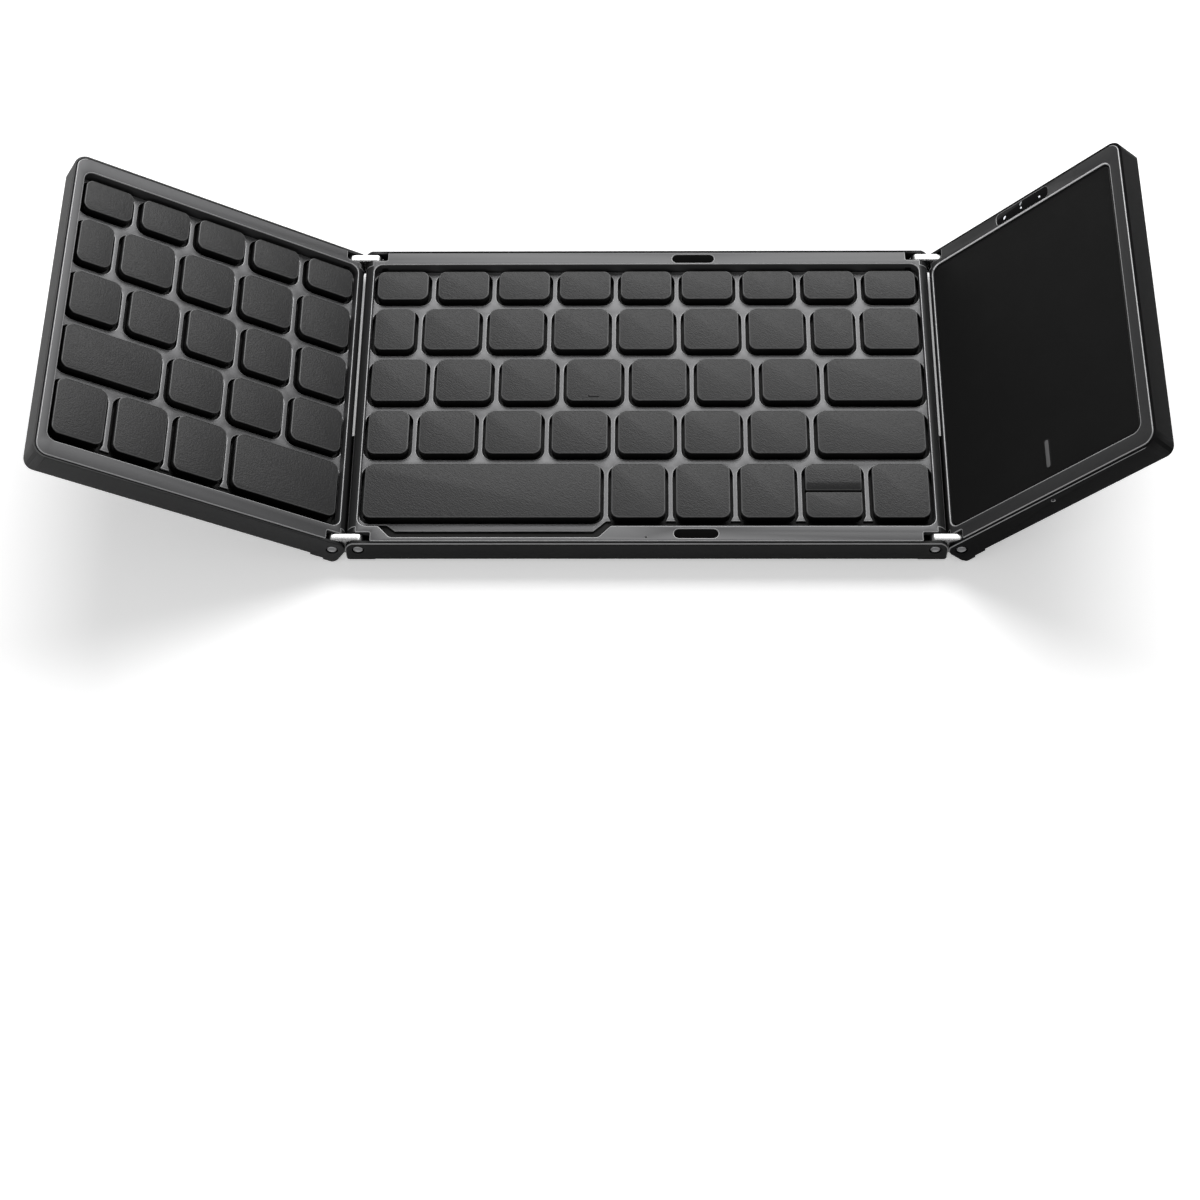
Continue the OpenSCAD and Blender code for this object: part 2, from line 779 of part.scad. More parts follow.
// One dome under each key; split is the front row's column with two half-depth keys, or -1
module domes(rows, x0, span, split) {
  for (r = [0 : len(rows) - 1], i = [0 : len(rows[r]) - 1]) {
    x = key_x(rows[r], i, x0, span) + key_w(rows[r], i, span) / 2;
    if (r == 0 && i == split)
      for (half = [0, 1]) dome(x, row_y(0) + half * (half_d + split_gap) + half_d / 2);
    else
      dome(x, row_y(r) + row_depths[r] / 2);
  }
}

module center_key_plate() {
  color([0.55, 0.55, 0.57]) at_centre()
    slab(floor_z, membrane_z) inner_outline(-centre_pin_x, centre_pin_x);
}

module center_dome_membrane() {
  color([0.5, 0.55, 0.5]) at_centre() {
    slab(membrane_z, membrane_z + membrane_t) inner_outline(-centre_pin_x, centre_pin_x);
    domes(centre_rows, centre_x0, centre_span, arrow_col);
  }
}

// ---------- left wing ----------

left_well_x = left_w - left_side_rim;

// Top frame of a wing, without its well, in the wing's own frame
module wing_frame_body(w) {
  inner = case_wall + fit;
  intersection() {
    union() {
      slab(ledge_z, section_h) wing_outline(-end_r, w, frame_inset, corner_r - frame_inset);
      slab(frame_z, ledge_z + 0.01) wing_outline(-end_r, w, inner, corner_r - inner);
      slab(web_z, frame_z + 0.01) wing_outline(-end_r + inner, w, inner, corner_r - inner);
    }
    along_y(0, depth) wing_front(w, section_h);
  }
}

module left_top_frame() {
  color([0.29, 0.29, 0.3]) at_left() {
    difference() {
      wing_frame_body(left_w);
      slab(web_top, section_h + cut)
        round_rect(-well_over, front_rim, left_well_x, well_y1, well_r);
      slab(web_z - cut, web_top + cut) key_holes(left_rows, left_x0, left_span);
      lug_room(pocket_x + fit);
      at_screws(wing_screw_x(left_w)) translate([0, 0, web_z - cut])
        cylinder(r = screw_r + 0.02, h = screw_top - web_z + cut);
    }
    screw_bosses(wing_screw_x(left_w));
  }
}

module left_bottom_case() {
  color([0.06, 0.06, 0.065]) at_left() wing_case(left_w);
}

module left_base_plate() {
  color([0.2, 0.2, 0.205]) at_left() difference() {
    slab(0, base_plate_t) wing_plate_outline(left_w, 0);
    foot_seats(-end_r, left_w, foot_side);
  }
}

module left_feet() {
  color([0.03, 0.03, 0.03]) at_left() feet(-end_r, left_w, foot_side);
}

module left_screws() {
  color([0.6, 0.6, 0.62]) at_left() screws(wing_screw_x(left_w));
}

left_inner_x = left_w - case_wall - 1;
module left_key_plate() {
  color([0.55, 0.55, 0.57]) at_left() slab(floor_z, membrane_z) inner_outline(0, left_inner_x);
}

module left_dome_membrane() {
  color([0.5, 0.55, 0.5]) at_left() {
    slab(membrane_z, membrane_z + membrane_t) inner_outline(0, left_inner_x);
    domes(left_rows, left_x0, left_span, -1);
  }
}

// ---------- right wing ----------

right_well_x = right_w - right_side_rim;
right_well_y1 = depth - right_rear_rim;
pad_top = section_h - pad_drop;
pad_t_face = 1.2;
pad_z = pad_top - pad_t_face;
pad_board_t = 0.8;
pad_board_z = pad_z - pad_board_t;
click_gap = 0.35;                          // pad board to the click switch under it

// Indicator window in the rear rim
window_w = 3.5;
window_x = 31.8;
window_f = 3.05;
window_t = 0.9;
window_r = 1.1;
light_xs = [-6, -0.3, 6];
light_f = 3.5;                             // the lights sit off the window's middle
light_r = 0.3;
module window_outline(grow) {
  translate([window_x, depth - window_f]) round_rect(-window_len / 2 - grow,
    -window_w / 2 - grow, window_len / 2 + grow, window_w / 2 + grow, window_r + grow);
}

module light_outlines() {
  for (x = light_xs) translate([window_x + x, depth - light_f]) circle(light_r);
}

module right_top_frame() {
  color([0.29, 0.29, 0.3]) at_right() {
    difference() {
      wing_frame_body(right_w);
      slab(web_z - cut, section_h + cut)
        round_rect(-well_over, front_rim, right_well_x, right_well_y1, well_r);
      slab(section_h - window_t, section_h + cut) window_outline(fit / 2);
      lug_room(pocket_x + fit);
      switch_room();
      at_screws(wing_screw_x(right_w)) translate([0, 0, web_z - cut])
        cylinder(r = screw_r + 0.02, h = screw_top - web_z + cut);
    }
    screw_bosses(wing_screw_x(right_w));
  }
}

module indicator_window() {
  color([0.01, 0.01, 0.012]) at_right() difference() {
    slab(section_h - window_t, section_h - 0.02) window_outline(0);
    slab(section_h - window_t - cut, section_h + cut) light_outlines();
  }
}

module indicator_lights() {
  color([0.9, 0.92, 0.95]) at_right()
    slab(section_h - window_t, section_h - 0.05) light_outlines();
}

// Power switch: a slot in the rear wall, a knob in it and a housing behind
switch_z = floor_z + 2.7;
switch_slot_h = 2.2;
knob_w = 3;
knob_h = switch_slot_h - 0.4;
knob_depth = case_wall + 1.6;
housing_d = 4;
housing_y1 = depth - case_wall - fit;
port_x = right_w - port_side;
switch_x = port_x - port_w / 2 - port_switch_gap - switch_slot_w / 2;
port_h = 3.2;
port_wall = 0.35;
port_len = 7.4;
board_t = 0.8;
port_z = floor_z + board_t + port_h / 2;
tongue_w = 6.4;
tongue_t = 0.7;

// Room behind the rear rim for the port and the switch
module switch_room() {
  block(switch_x - switch_slot_w / 2 - 1.5, depth - case_wall - housing_d - 1, -cut,
    switch_x + switch_slot_w / 2 + 1.5, depth, switch_z + switch_slot_h / 2 + 0.6);
  block(port_x - port_w / 2 - 0.4, depth - port_len - 1, -cut,
    port_x + port_w / 2 + 0.4, depth, port_z + port_h / 2 + 0.2);
}

module pill_xz(w, h, grow) {
  translate([-w / 2 + h / 2, -h / 2 - grow]) square([w - h, h + 2 * grow]);
  for (x = [-w / 2 + h / 2, w / 2 - h / 2]) translate([x, 0]) circle(h / 2 + grow);
}

// Small reset hole in the front side
reset_x = 31;
reset_z = 5.5;
reset_r = 0.4;

// Posts that carry the touchpad's board at the rear and the click switch's foot at the front
post_w = 6;
post_d = 2.4;
pad_hinge_y = right_well_y1 - pad_clearance;
pad_rest = 0.05;
module pad_posts() {
  for (x = [2, right_well_x - 2 - post_w])
    block(x, pad_hinge_y - post_d, floor_z - 0.01, x + post_w, pad_hinge_y - 0.4,
      pad_board_z - pad_rest);
}

module right_bottom_case() {
  color([0.06, 0.06, 0.065]) at_right() {
    difference() {
      wing_case(right_w);
      along_y(depth - case_wall - cut, depth + cut)
        translate([switch_x, switch_z]) pill_xz(switch_slot_w, switch_slot_h, 0);
      along_y(depth - case_wall - cut, depth + cut)
        translate([port_x, port_z]) pill_xz(port_w, port_h, fit);
      along_y(-cut, case_wall + cut) translate([reset_x, reset_z]) circle(reset_r);
    }
    pad_posts();
  }
}

module right_base_plate() {
  color([0.2, 0.2, 0.205]) at_right() difference() {
    slab(0, base_plate_t) wing_plate_outline(right_w, 0);
    foot_seats(-end_r, right_w, foot_side);
  }
}

module right_feet() {
  color([0.03, 0.03, 0.03]) at_right() feet(-end_r, right_w, foot_side);
}

module right_screws() {
  color([0.6, 0.6, 0.62]) at_right() screws(wing_screw_x(right_w));
}

module pad_outline() {
  g = pad_clearance;
  round_rect(-well_over + g, front_rim + g, right_well_x - g, right_well_y1 - g, well_r - g);
}

tick_w = 1;
tick_h = 0.15;
tick_x = (right_well_x - well_over) / 2 + 1.8;
module touchpad() {
  color([0.03, 0.03, 0.03]) at_right() {
    slab(pad_z, pad_top) pad_outline();
    slab(pad_top - 0.01, pad_top + tick_h) translate([tick_x, front_rim + 3.1])
      round_rect(-tick_w / 2, 0, tick_w / 2, tick_len, tick_w / 2);
  }
}

board_edge = 1.5;
module touchpad_board() {
  color([0.05, 0.25, 0.12]) at_right() difference() {
    block(board_edge, front_rim + board_edge, pad_board_z, right_well_x - board_edge,
      pad_hinge_y - inner_gap, pad_z);
    block(port_x - port_w / 2 - 1, depth - port_len - 1, 0, port_x + port_w / 2 + 1, depth,
      section_h);
  }
}

// Main board: down the hinge side and along the rear wall
board_w = 20;
board_y0 = 12;
board_d = 10;
board_x1 = port_x + port_w / 2 + 4;
board_y1 = depth - case_wall - 0.4;
screw_keep = boss_r + inner_gap;
module main_board() {
  color([0.05, 0.25, 0.12]) at_right() difference() {
    union() {
      block(0, board_y0, floor_z, board_w, board_y1, floor_z + board_t);
      block(board_w - 1, board_y1 - board_d, floor_z, board_x1, board_y1, floor_z + board_t);
    }
    at_screws(wing_screw_x(right_w)) cylinder(r = screw_keep, h = section_h);
    front_and_rear() block(-cut, -cut, 0, pocket_x + inner_gap, lug_f1 + inner_gap, section_h);
    for (x = [2, right_well_x - 2 - post_w])
      block(x - inner_gap, pad_hinge_y - post_d - inner_gap, 0, x + post_w + inner_gap,
        pad_hinge_y, section_h);
  }
}

battery_gap = 1.5;
battery_side = 0.5;                        // clear of the rim
battery_h = 3.1;
module battery() {
  color([0.65, 0.66, 0.68]) at_right()
    slab(floor_z, floor_z + battery_h) round_rect(board_w + battery_gap, board_y0,
      right_well_x - battery_side, board_y1 - board_d - battery_gap, 1.5);
}

module usb_port() {
  color([0.7, 0.7, 0.72]) at_right() translate([port_x, 0, port_z]) {
    along_y(depth - port_len, depth - 0.2) difference() {
      pill_xz(port_w, port_h, 0);
      pill_xz(port_w, port_h, -port_wall);
    }
    along_y(depth - port_len, depth - port_len + 1) pill_xz(port_w, port_h, -port_wall / 2);
    block(-tongue_w / 2, depth - port_len + 0.5, -tongue_t / 2, tongue_w / 2, depth - 1.2,
      tongue_t / 2);
  }
}

module switch_housing() {
  w = switch_slot_w + 2;
  z1 = switch_z + switch_slot_h / 2 + 0.4;
  color([0.02, 0.02, 0.02]) at_right() difference() {
    block(switch_x - w / 2, housing_y1 - housing_d, floor_z + board_t, switch_x + w / 2,
      housing_y1, z1);
    block(switch_x - switch_slot_w / 2 + 0.2, depth - knob_depth - fit, switch_z - knob_h / 2 - fit,
      switch_x + switch_slot_w / 2 - 0.2, depth, switch_z + knob_h / 2 + fit);
  }
}

// Slider in the slot with a raised rib; it rests at the on end, towards the outer side
knob_x = switch_x + switch_travel / 2;
slider_w = switch_slot_w - switch_travel - 1.5;
module power_switch_knob() {
  color([0.1, 0.1, 0.1]) at_right() {
    along_y(depth - knob_depth, depth - 0.6) translate([knob_x, switch_z])
      pill_xz(slider_w, knob_h, 0);
    block(knob_x - knob_w / 2, depth - knob_depth, switch_z - knob_h / 2,
      knob_x + knob_w / 2, depth - 0.15, switch_z + knob_h / 2);
  }
}

// Click switch on the case floor under the front edge of the touchpad
click_x = board_w / 2;
click_y = board_y0 + 4;
module click_switch() {
  color([0.7, 0.7, 0.72]) at_right() {
    block(click_x - 2.6, click_y - 2.6, floor_z + board_t, click_x + 2.6, click_y + 2.6,
      pad_board_z - click_gap - 0.8);
    translate([click_x, click_y, pad_board_z - click_gap - 0.81]) cylinder(r = 1.3, h = 0.81);
  }
}

// ---------- hinges ----------

module at_left_link() {
  translate([shift_x - centre_pin_x, -depth / 2, foot_h]) children();
}

module at_right_link() {
  translate([shift_x + centre_pin_x, -depth / 2, foot_h]) mirror([1, 0, 0]) children();
}

module left_hinge_links() {
  color([0.8, 0.8, 0.81]) at_left_link() links();
}

module left_hinge_pins() {
  color([0.6, 0.6, 0.6]) at_left_link() pins();
}

module left_flex_cable() {
  color([0.02, 0.02, 0.02]) at_left_link() flex_cable(left_tilt);
}

module right_hinge_links() {
  color([0.8, 0.8, 0.81]) at_right_link() links();
}

module right_hinge_pins() {
  color([0.6, 0.6, 0.6]) at_right_link() pins();
}

module right_flex_cable() {
  color([0.02, 0.02, 0.02]) at_right_link() flex_cable(right_tilt);
}

center_bottom_case();
center_base_plate();
center_top_frame();
center_key_plate();
center_dome_membrane();
center_feet();
center_bumper_pads();
center_screws();
left_bottom_case();
left_base_plate();
left_top_frame();
left_key_plate();
left_dome_membrane();
left_feet();
left_screws();
right_bottom_case();
right_base_plate();
right_top_frame();
main_board();
battery();
usb_port();
switch_housing();
click_switch();
indicator_window();
indicator_lights();
right_feet();
right_screws();
touchpad();
touchpad_board();
power_switch_knob();
left_hinge_links();
left_hinge_pins();
left_flex_cable();
right_hinge_links();
right_hinge_pins();
right_flex_cable();
short_row_keys();
second_row_keys();
fourth_row_keys();
home_key_1();
home_key_2();
home_key_3();
home_key_4();
home_key_5();
home_key_6();
home_key_7();
home_key_8();
space_bar();
front_key_1();
front_key_2();
front_key_3();
up_key();
down_key();
right_key();
left_short_row_keys();
left_second_row_keys();
left_home_row_keys();
left_fourth_row_keys();
left_front_row_keys();
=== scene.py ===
"""Folding keyboard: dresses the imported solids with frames, keys, hinges and finishes."""

import json
import math

import bmesh
import bpy
from bpy.props import FloatProperty, FloatVectorProperty, PointerProperty
from mathutils import Matrix, Vector
from mathutils.geometry import delaunay_2d_cdt

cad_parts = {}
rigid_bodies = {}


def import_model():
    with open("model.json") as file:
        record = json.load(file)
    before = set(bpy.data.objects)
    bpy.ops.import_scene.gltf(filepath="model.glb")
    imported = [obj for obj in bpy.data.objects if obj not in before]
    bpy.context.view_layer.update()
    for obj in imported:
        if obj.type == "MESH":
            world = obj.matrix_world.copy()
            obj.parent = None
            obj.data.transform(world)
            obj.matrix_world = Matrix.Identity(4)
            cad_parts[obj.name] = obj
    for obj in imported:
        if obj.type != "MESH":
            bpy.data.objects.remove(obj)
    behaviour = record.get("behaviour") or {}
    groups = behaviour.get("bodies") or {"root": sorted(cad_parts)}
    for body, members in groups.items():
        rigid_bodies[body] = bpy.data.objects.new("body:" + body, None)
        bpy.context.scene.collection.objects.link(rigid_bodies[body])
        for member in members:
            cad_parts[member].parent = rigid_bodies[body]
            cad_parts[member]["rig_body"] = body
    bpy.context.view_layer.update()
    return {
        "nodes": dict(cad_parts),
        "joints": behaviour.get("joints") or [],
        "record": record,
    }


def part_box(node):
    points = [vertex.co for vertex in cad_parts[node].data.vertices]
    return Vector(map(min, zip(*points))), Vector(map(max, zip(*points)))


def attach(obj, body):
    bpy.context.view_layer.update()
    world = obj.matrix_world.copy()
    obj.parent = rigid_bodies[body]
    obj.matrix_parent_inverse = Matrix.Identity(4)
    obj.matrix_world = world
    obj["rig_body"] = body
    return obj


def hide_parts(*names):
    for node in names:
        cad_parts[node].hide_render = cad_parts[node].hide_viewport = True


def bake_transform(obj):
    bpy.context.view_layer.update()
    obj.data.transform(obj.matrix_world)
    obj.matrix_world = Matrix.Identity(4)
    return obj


bl_info = {
    "name": "Folding Keyboard",
    "version": (1, 0, 0),
    "blender": (4, 5, 0),
    "location": "3D View > Sidebar > Keyboard",
    "description": "Builds the visible pieces and finishes of a three-section folding keyboard",
    "category": "Add Mesh",
}

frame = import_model()

# Places: each section has its own axes, u outward from its pin (or from the middle of the centre
# section), v from the front face and w up from the underside, in metres.

MM = 0.001
TINY = 0.02 * MM  # less than any feature
WELD = 1e-6  # vertices this near to each other are one
SIDES = ("left", "right")
SECTIONS = {"center": "center", "left": "left_wing", "right": "right_wing"}
JOINTS = {j["name"]: j for j in frame["joints"]}
CENTRE_PIN = {side: Vector(JOINTS[side + "_link_fold"]["pos_m"]) for side in SIDES}
WING_PIN = {side: Vector(JOINTS[side + "_wing_fold"]["pos_m"]) for side in SIDES}
TILT = {side: math.radians(-JOINTS[side + "_wing_fold"]["range_deg"][0]) for side in SIDES}
CASE_LOW, CASE_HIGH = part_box("center_bottom_case")
FRONT_Y = CASE_LOW.y
DEPTH = CASE_HIGH.y - CASE_LOW.y
UNDERSIDE_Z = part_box("center_base_plate")[0].z
PIN_X = (CENTRE_PIN["right"].x - CENTRE_PIN["left"].x) / 2
PIN_H = CENTRE_PIN["left"].z - UNDERSIDE_Z
SECTION_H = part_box("center_top_frame")[1].z - UNDERSIDE_Z
END_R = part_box("center_top_frame")[1].x - CENTRE_PIN["right"].x
WALL_TOP = CASE_HIGH.z - UNDERSIDE_Z

MIRROR = Matrix.Scale(-1, 4, (1, 0, 0))


def place_at(side, x, z):
    """Matrix to the row frame from axes at (x, z), with u outward."""
    place = Matrix.Translation((x, FRONT_Y, z))
    return place @ MIRROR if side == "left" else place


MIDDLE_X = (CENTRE_PIN["left"].x + CENTRE_PIN["right"].x) / 2
PLACES = {"center": place_at("center", MIDDLE_X, UNDERSIDE_Z)}
for side in SIDES:
    # on a link, the centre's pin is at u = 0 and the wing's at u > 0
    PLACES[side + "_link"] = place_at(side, CENTRE_PIN[side].x, UNDERSIDE_Z)
    PLACES[side + "_wing"] = place_at(side, WING_PIN[side].x, WING_PIN[side].z) @ (
        Matrix.Rotation(-TILT[side], 4, "Y") @ Matrix.Translation((0, 0, -PIN_H)))


def solids_of(node, body):
    """Boxes (low, high) of a CAD node's separate solids, in a section's axes, ordered by u
    and then v."""
    to_section = PLACES[body].inverted()
    bm = bmesh.new()
    bm.from_mesh(frame["nodes"][node].data)
    bmesh.ops.remove_doubles(bm, verts=bm.verts, dist=WELD)
    left = set(bm.verts)
    boxes = []
    while left:
        solid, edge = set(), [left.pop()]
        while edge:
            vert = edge.pop()
            solid.add(vert)
            for link in vert.link_edges:
                other = link.other_vert(vert)
                if other in left:
                    left.discard(other)
                    edge.append(other)
        points = [to_section @ v.co for v in solid]
        boxes.append(tuple(Vector([pick(p[k] for p in points) for k in range(3)])
                           for pick in (min, max)))
    bm.free()
    return sorted(boxes, key=lambda box: (round(box[0].x, 4), round(box[0].y, 4)))


# Settings


def length(name, description, millimetres):
    return FloatProperty(name=name, description=description, default=millimetres * MM,
                         min=0, unit="LENGTH", precision=5)


def colour(name, description, value):
    return FloatVectorProperty(name=name, description=description, default=value,
                               size=3, min=0, max=1, subtype="COLOR")


def vector(name, description, value, **kind):
    return FloatVectorProperty(name=name, description=description, default=value, size=3,
                               **kind)


def group(kind, name, description):
    return PointerProperty(type=kind, name=name, description=description)


class KEYBOARD_PG_frames(bpy.types.PropertyGroup):
    front_rim: length("Front rim", "Width of the front rim, case included", 5.5)
    rear_rim: length("Rear rim", "Width of the rear rim, case included", 5.0)
    right_rear_rim: length("Right wing's rear rim", "Rear rim that holds the window", 5.5)
    left_rim: length("Left rim", "Width of the left wing's outer rim", 3.2)
    right_rim: length("Right rim", "Width of the right wing's outer rim", 4.2)
    well_over: length("Well overlap", "How far a key well reaches past the pins", 0.3)
    well_radius: length("Well radius", "Corner radius of the key wells", 2.5)
    corner_radius: length("Corner radius", "Radius of the wings' outer corners", 4.0)
    edge_gap: length("Edge", "Case edge and groove outside the frame", 0.8)
    web_top: length("Web height", "Height of the web between the keys", 4.8)
    web_thickness: length("Web thickness", "Thickness of the web between the keys", 0.8)
    hole_gap: length("Hole gap", "Clearance between a key and its hole", 0.78)
    key_radius: length("Key radius", "Corner radius of the key caps", 2.2)
    rim_edge: length("Rim edge", "Rounding of the rim's edges", 0.22)
    web_edge: length("Web edge", "Rounding of the web's edges", 0.22)
    # the groove's floor is the seat, painted black as shade
    web_groove: length("Web groove", "Dark groove between the web and the well's wall", 0.45)
    # the lip's brightness is painted highlight
    pad_lip: length("Touchpad lip", "Width of the bright lip round the touchpad", 0.35)
    paint: colour("Paint", "Satin paint of the frames", (0.068, 0.068, 0.070))
    # the right wing's paint is a darker copy of the frames' paint: painted shade
    right_shaded_paint: colour("Right paint", "Darker paint of the right wing's frame",
                        (0.040, 0.040, 0.041))
    # the lip colour is painted highlight on the lip behind the touchpad
    lip_highlight_paint: colour("Lip", "Bright lip behind the touchpad", (0.85, 0.85, 0.86))
    # the end colour is painted shade on the rounded hinge ends
    end_shade_paint: colour("End paint", "Darker paint of the frames' rounded hinge ends",
                      (0.022, 0.022, 0.0225))
    # the edge colour is painted highlight on the frames' rounded edges
    edge_highlight: colour("Edges", "Paint on the frames' edges", (0.40, 0.40, 0.405))
    # the web colour is the frames' grey made lighter: painted light on the web, which lies in
    # the keys' shade
    web_lit_paint: colour("Web", "Paint of the web between the keys", (0.12, 0.12, 0.123))


class KEYBOARD_PG_keys(bpy.types.PropertyGroup):
    fillet: length("Fillet", "Rounding of a key's upper edge", 0.3)
    bar_length: length("Bar length", "Length of the raised finger mark", 3.0)
    valley: length("Valley", "Length of the up key's front slope", 2.3)
    valley_depth: length("Valley depth", "Drop of the up key's front slope", 0.8)
    top: colour("Key top", "Grained plastic of the key tops", (0.029, 0.029, 0.0295))
    # the key edge colour is painted highlight on the key tops' rounded upper edge
    edge: colour("Key edge", "Worn upper edge of the key tops", (0.080, 0.080, 0.081))
    side: colour("Key side", "Smooth plastic of the key sides", (0.0025, 0.0025, 0.0025))


class KEYBOARD_PG_details(bpy.types.PropertyGroup):
    case: colour("Case", "Matt plastic of the cases", (0.009, 0.009, 0.0095))
    # the case edge colour is painted highlight on the cases' rounded edges
    case_edge_highlight: colour("Case edge", "Polished edges of the cases", (0.30, 0.30, 0.303))
    plate: colour("Base plate", "Anodised metal of the undersides", (0.085, 0.085, 0.088))
    link: colour("Link", "Bright metal of the hinge links", (0.39, 0.39, 0.39))
    pin: colour("Pin", "Metal of the hinge pins", (0.50, 0.50, 0.51))
    rubber: colour("Rubber", "Feet and pads", (0.002, 0.002, 0.002))
    touchpad: colour("Touchpad", "Matt film of the touchpad", (0.0095, 0.0095, 0.0095))
    light: colour("Lights", "Light guides in the indicator window", (0.85, 0.88, 0.92))


class KEYBOARD_PG_stage(bpy.types.PropertyGroup):
    floor: colour("Floor", "Pale studio floor", (0.86, 0.86, 0.86))
    lens: FloatProperty(name="Lens", description="Focal length of the camera",
                        default=77.475, min=1, unit="CAMERA")
    camera_position: vector("Camera position", "From the middle of the front lower edge",
                            (0.00019, -0.3609, 0.5704), subtype="TRANSLATION", unit="LENGTH")
    camera_look: vector("Camera direction", "Direction in which the camera looks",
                        (-0.0181, 0.5213, -0.8532), subtype="DIRECTION")
    camera_up: vector("Camera up", "Direction that points up in the picture",
                      (-0.0003, 0.8533, 0.5214), subtype="DIRECTION")


class KEYBOARD_PG_settings(bpy.types.PropertyGroup):
    frames: group(KEYBOARD_PG_frames, "Frames", "Rims and webs")
    keys: group(KEYBOARD_PG_keys, "Keys", "Key caps")
    details: group(KEYBOARD_PG_details, "Details", "Colours of the other pieces")
    stage: group(KEYBOARD_PG_stage, "Stage", "Floor and camera")


def settings(context):
    return context.scene.folding_keyboard


# Finishes


class Wire:
    """A shader socket that takes part in Python sums; each operation adds its Math node."""

    def __init__(self, finish, socket):
        self.finish = finish
        self.socket = socket

    def math(self, operation, *values):
        return self.finish.node("ShaderNodeMath", {"operation": operation},
                                dict(enumerate(values)))

    def __add__(self, other):
        return self.math("ADD", self, other)

    def __sub__(self, other):
        return self.math("SUBTRACT", self, other)

    def __rsub__(self, other):
        return self.math("SUBTRACT", other, self)

    def __mul__(self, other):
        return self.math("MULTIPLY", self, other)

    def step(self, low, high):
        """0 below low, 1 above high, smooth between."""
        return self.finish.node("ShaderNodeMapRange", {"interpolation_type": "SMOOTHSTEP"},
                                {"Value": self, "From Min": low, "From Max": high})

    __radd__ = __add__
    __rmul__ = __mul__


class Finish:
    """A material or a world, and the one method that adds nodes to it."""

    def __init__(self, name, world=False):
        self.material = (bpy.data.worlds if world else bpy.data.materials).new(name)
        self.material.use_nodes = True
        self.tree = self.material.node_tree
        self.tree.nodes.clear()

    def node(self, kind, options=None, sockets=None, out=0):
        """Adds a node: its settings first, then the values or links of its sockets."""
        node = self.tree.nodes.new(kind)
        for key, value in (options or {}).items():
            setattr(node, key, value)
        for key, value in (sockets or {}).items():
            if isinstance(value, Wire):
                self.tree.links.new(value.socket, node.inputs[key])
            else:
                node.inputs[key].default_value = value
        return Wire(self, node.outputs[out]) if len(node.outputs) else None

    def millimetres(self):
        """The point on the piece, in millimetres."""
        point = self.node("ShaderNodeTexCoord", out="Object")
        return self.node("ShaderNodeVectorMath", {"operation": "SCALE"},
                         {0: point, "Scale": 1 / MM})

    def stretched(self, point, factors):
        return self.node("ShaderNodeVectorMath", {"operation": "MULTIPLY"},
                         {0: point, 1: factors})

    def noise(self, point, scale, detail=2.0, roughness=0.5):
        return self.node("ShaderNodeTexNoise", {"noise_dimensions": "3D"},
                         {"Vector": point, "Scale": scale, "Detail": detail,
                          "Roughness": roughness})

    def cells(self, point, scale):
        """Rounded cells, as in moulded leather grain."""
        return self.node("ShaderNodeTexVoronoi", {"feature": "SMOOTH_F1"},
                         {"Vector": point, "Scale": scale, "Smoothness": 0.4})

    def mixed(self, a, b, factor):
        """Colour between a and b."""
        return self.node("ShaderNodeMix", {"data_type": "RGBA"},
                         {"Factor": factor, 6: a, 7: b}, out=2)

    def shade(self, tint, low, high, factor):
        """Colour between two shares of a tint."""
        return self.mixed(rgba(tint, low), rgba(tint, high), factor)

    def bumped(self, height, millimetres, strength):
        return self.node("ShaderNodeBump", None, {
            "Height": height, "Distance": millimetres * MM, "Strength": strength})

    def surface(self, **sockets):
        """Ends the material in one Principled BSDF; socket names have _ for a space."""
        named = {"Specular IOR Level" if key == "specular" else key.replace("_", " ").title():
                 value for key, value in sockets.items()}
        shader = self.node("ShaderNodeBsdfPrincipled", None, named)
        self.node("ShaderNodeOutputMaterial", None, {"Surface": shader})
        return self.material


def rgba(tint, share=1.0):
    return (*(channel * share for channel in tint), 1.0)


def grey(value):
    return (value, value, value)


def satin_paint(name, tint):
    """Frames: satin metallic paint with a fine texture."""
    finish = Finish(name)
    point = finish.millimetres()
    speckle = finish.noise(point, 6.0, 3.0)
    cloud = finish.noise(point, 0.05, 1.0)
    tone = finish.shade(tint, 0.93, 1.07, cloud)
    return finish.surface(
        base_color=finish.mixed(tone, rgba(tint, 1.25), speckle.step(0.55, 0.8) * 0.5),
        metallic=0.35, roughness=0.36 + speckle * 0.12,
        normal=finish.bumped(speckle, 0.008, 0.6))


def grained_plastic(name, tint):
    """Key tops: matt plastic with moulded leather grain."""
    finish = Finish(name)
    point = finish.millimetres()
    slanted = finish.node("ShaderNodeVectorRotate", {"rotation_type": "Z_AXIS"},
                          {"Vector": point, "Angle": math.radians(35)})
    grain = finish.cells(finish.stretched(slanted, (1.0, 1.9, 1.0)), 1.9)
    fine = finish.noise(point, 5.0)
    swell = finish.noise(finish.stretched(slanted, (0.6, 1.6, 0.6)), 1.2)
    height = grain * 0.8 + fine * 0.25 + swell * 0.8
    return finish.surface(
        base_color=finish.shade(tint, 0.8, 1.25, fine * 0.5 + grain * 0.5),
        roughness=0.36 + swell * 0.14, specular=0.22,
        normal=finish.bumped(height, 0.08, 0.75))


def clouded(name, tint, shares, cloud, grain, rough, bump, stretch=(1, 1, 1), blend=None,
            **constants):
    """Finish whose tint drifts between two shares of itself with the noise cloud, or with
    blend(cloud, grain), and whose roughness (base, part) and relief (millimetres, strength)
    follow the finer noise grain."""
    finish = Finish(name)
    point = finish.millimetres()
    fine = finish.noise(finish.stretched(point, stretch), *grain)
    drift = finish.noise(point, *cloud)
    return finish.surface(
        base_color=finish.shade(tint, *shares, blend(drift, fine) if blend else drift),
        roughness=rough[0] + fine * rough[1], normal=finish.bumped(fine, *bump), **constants)


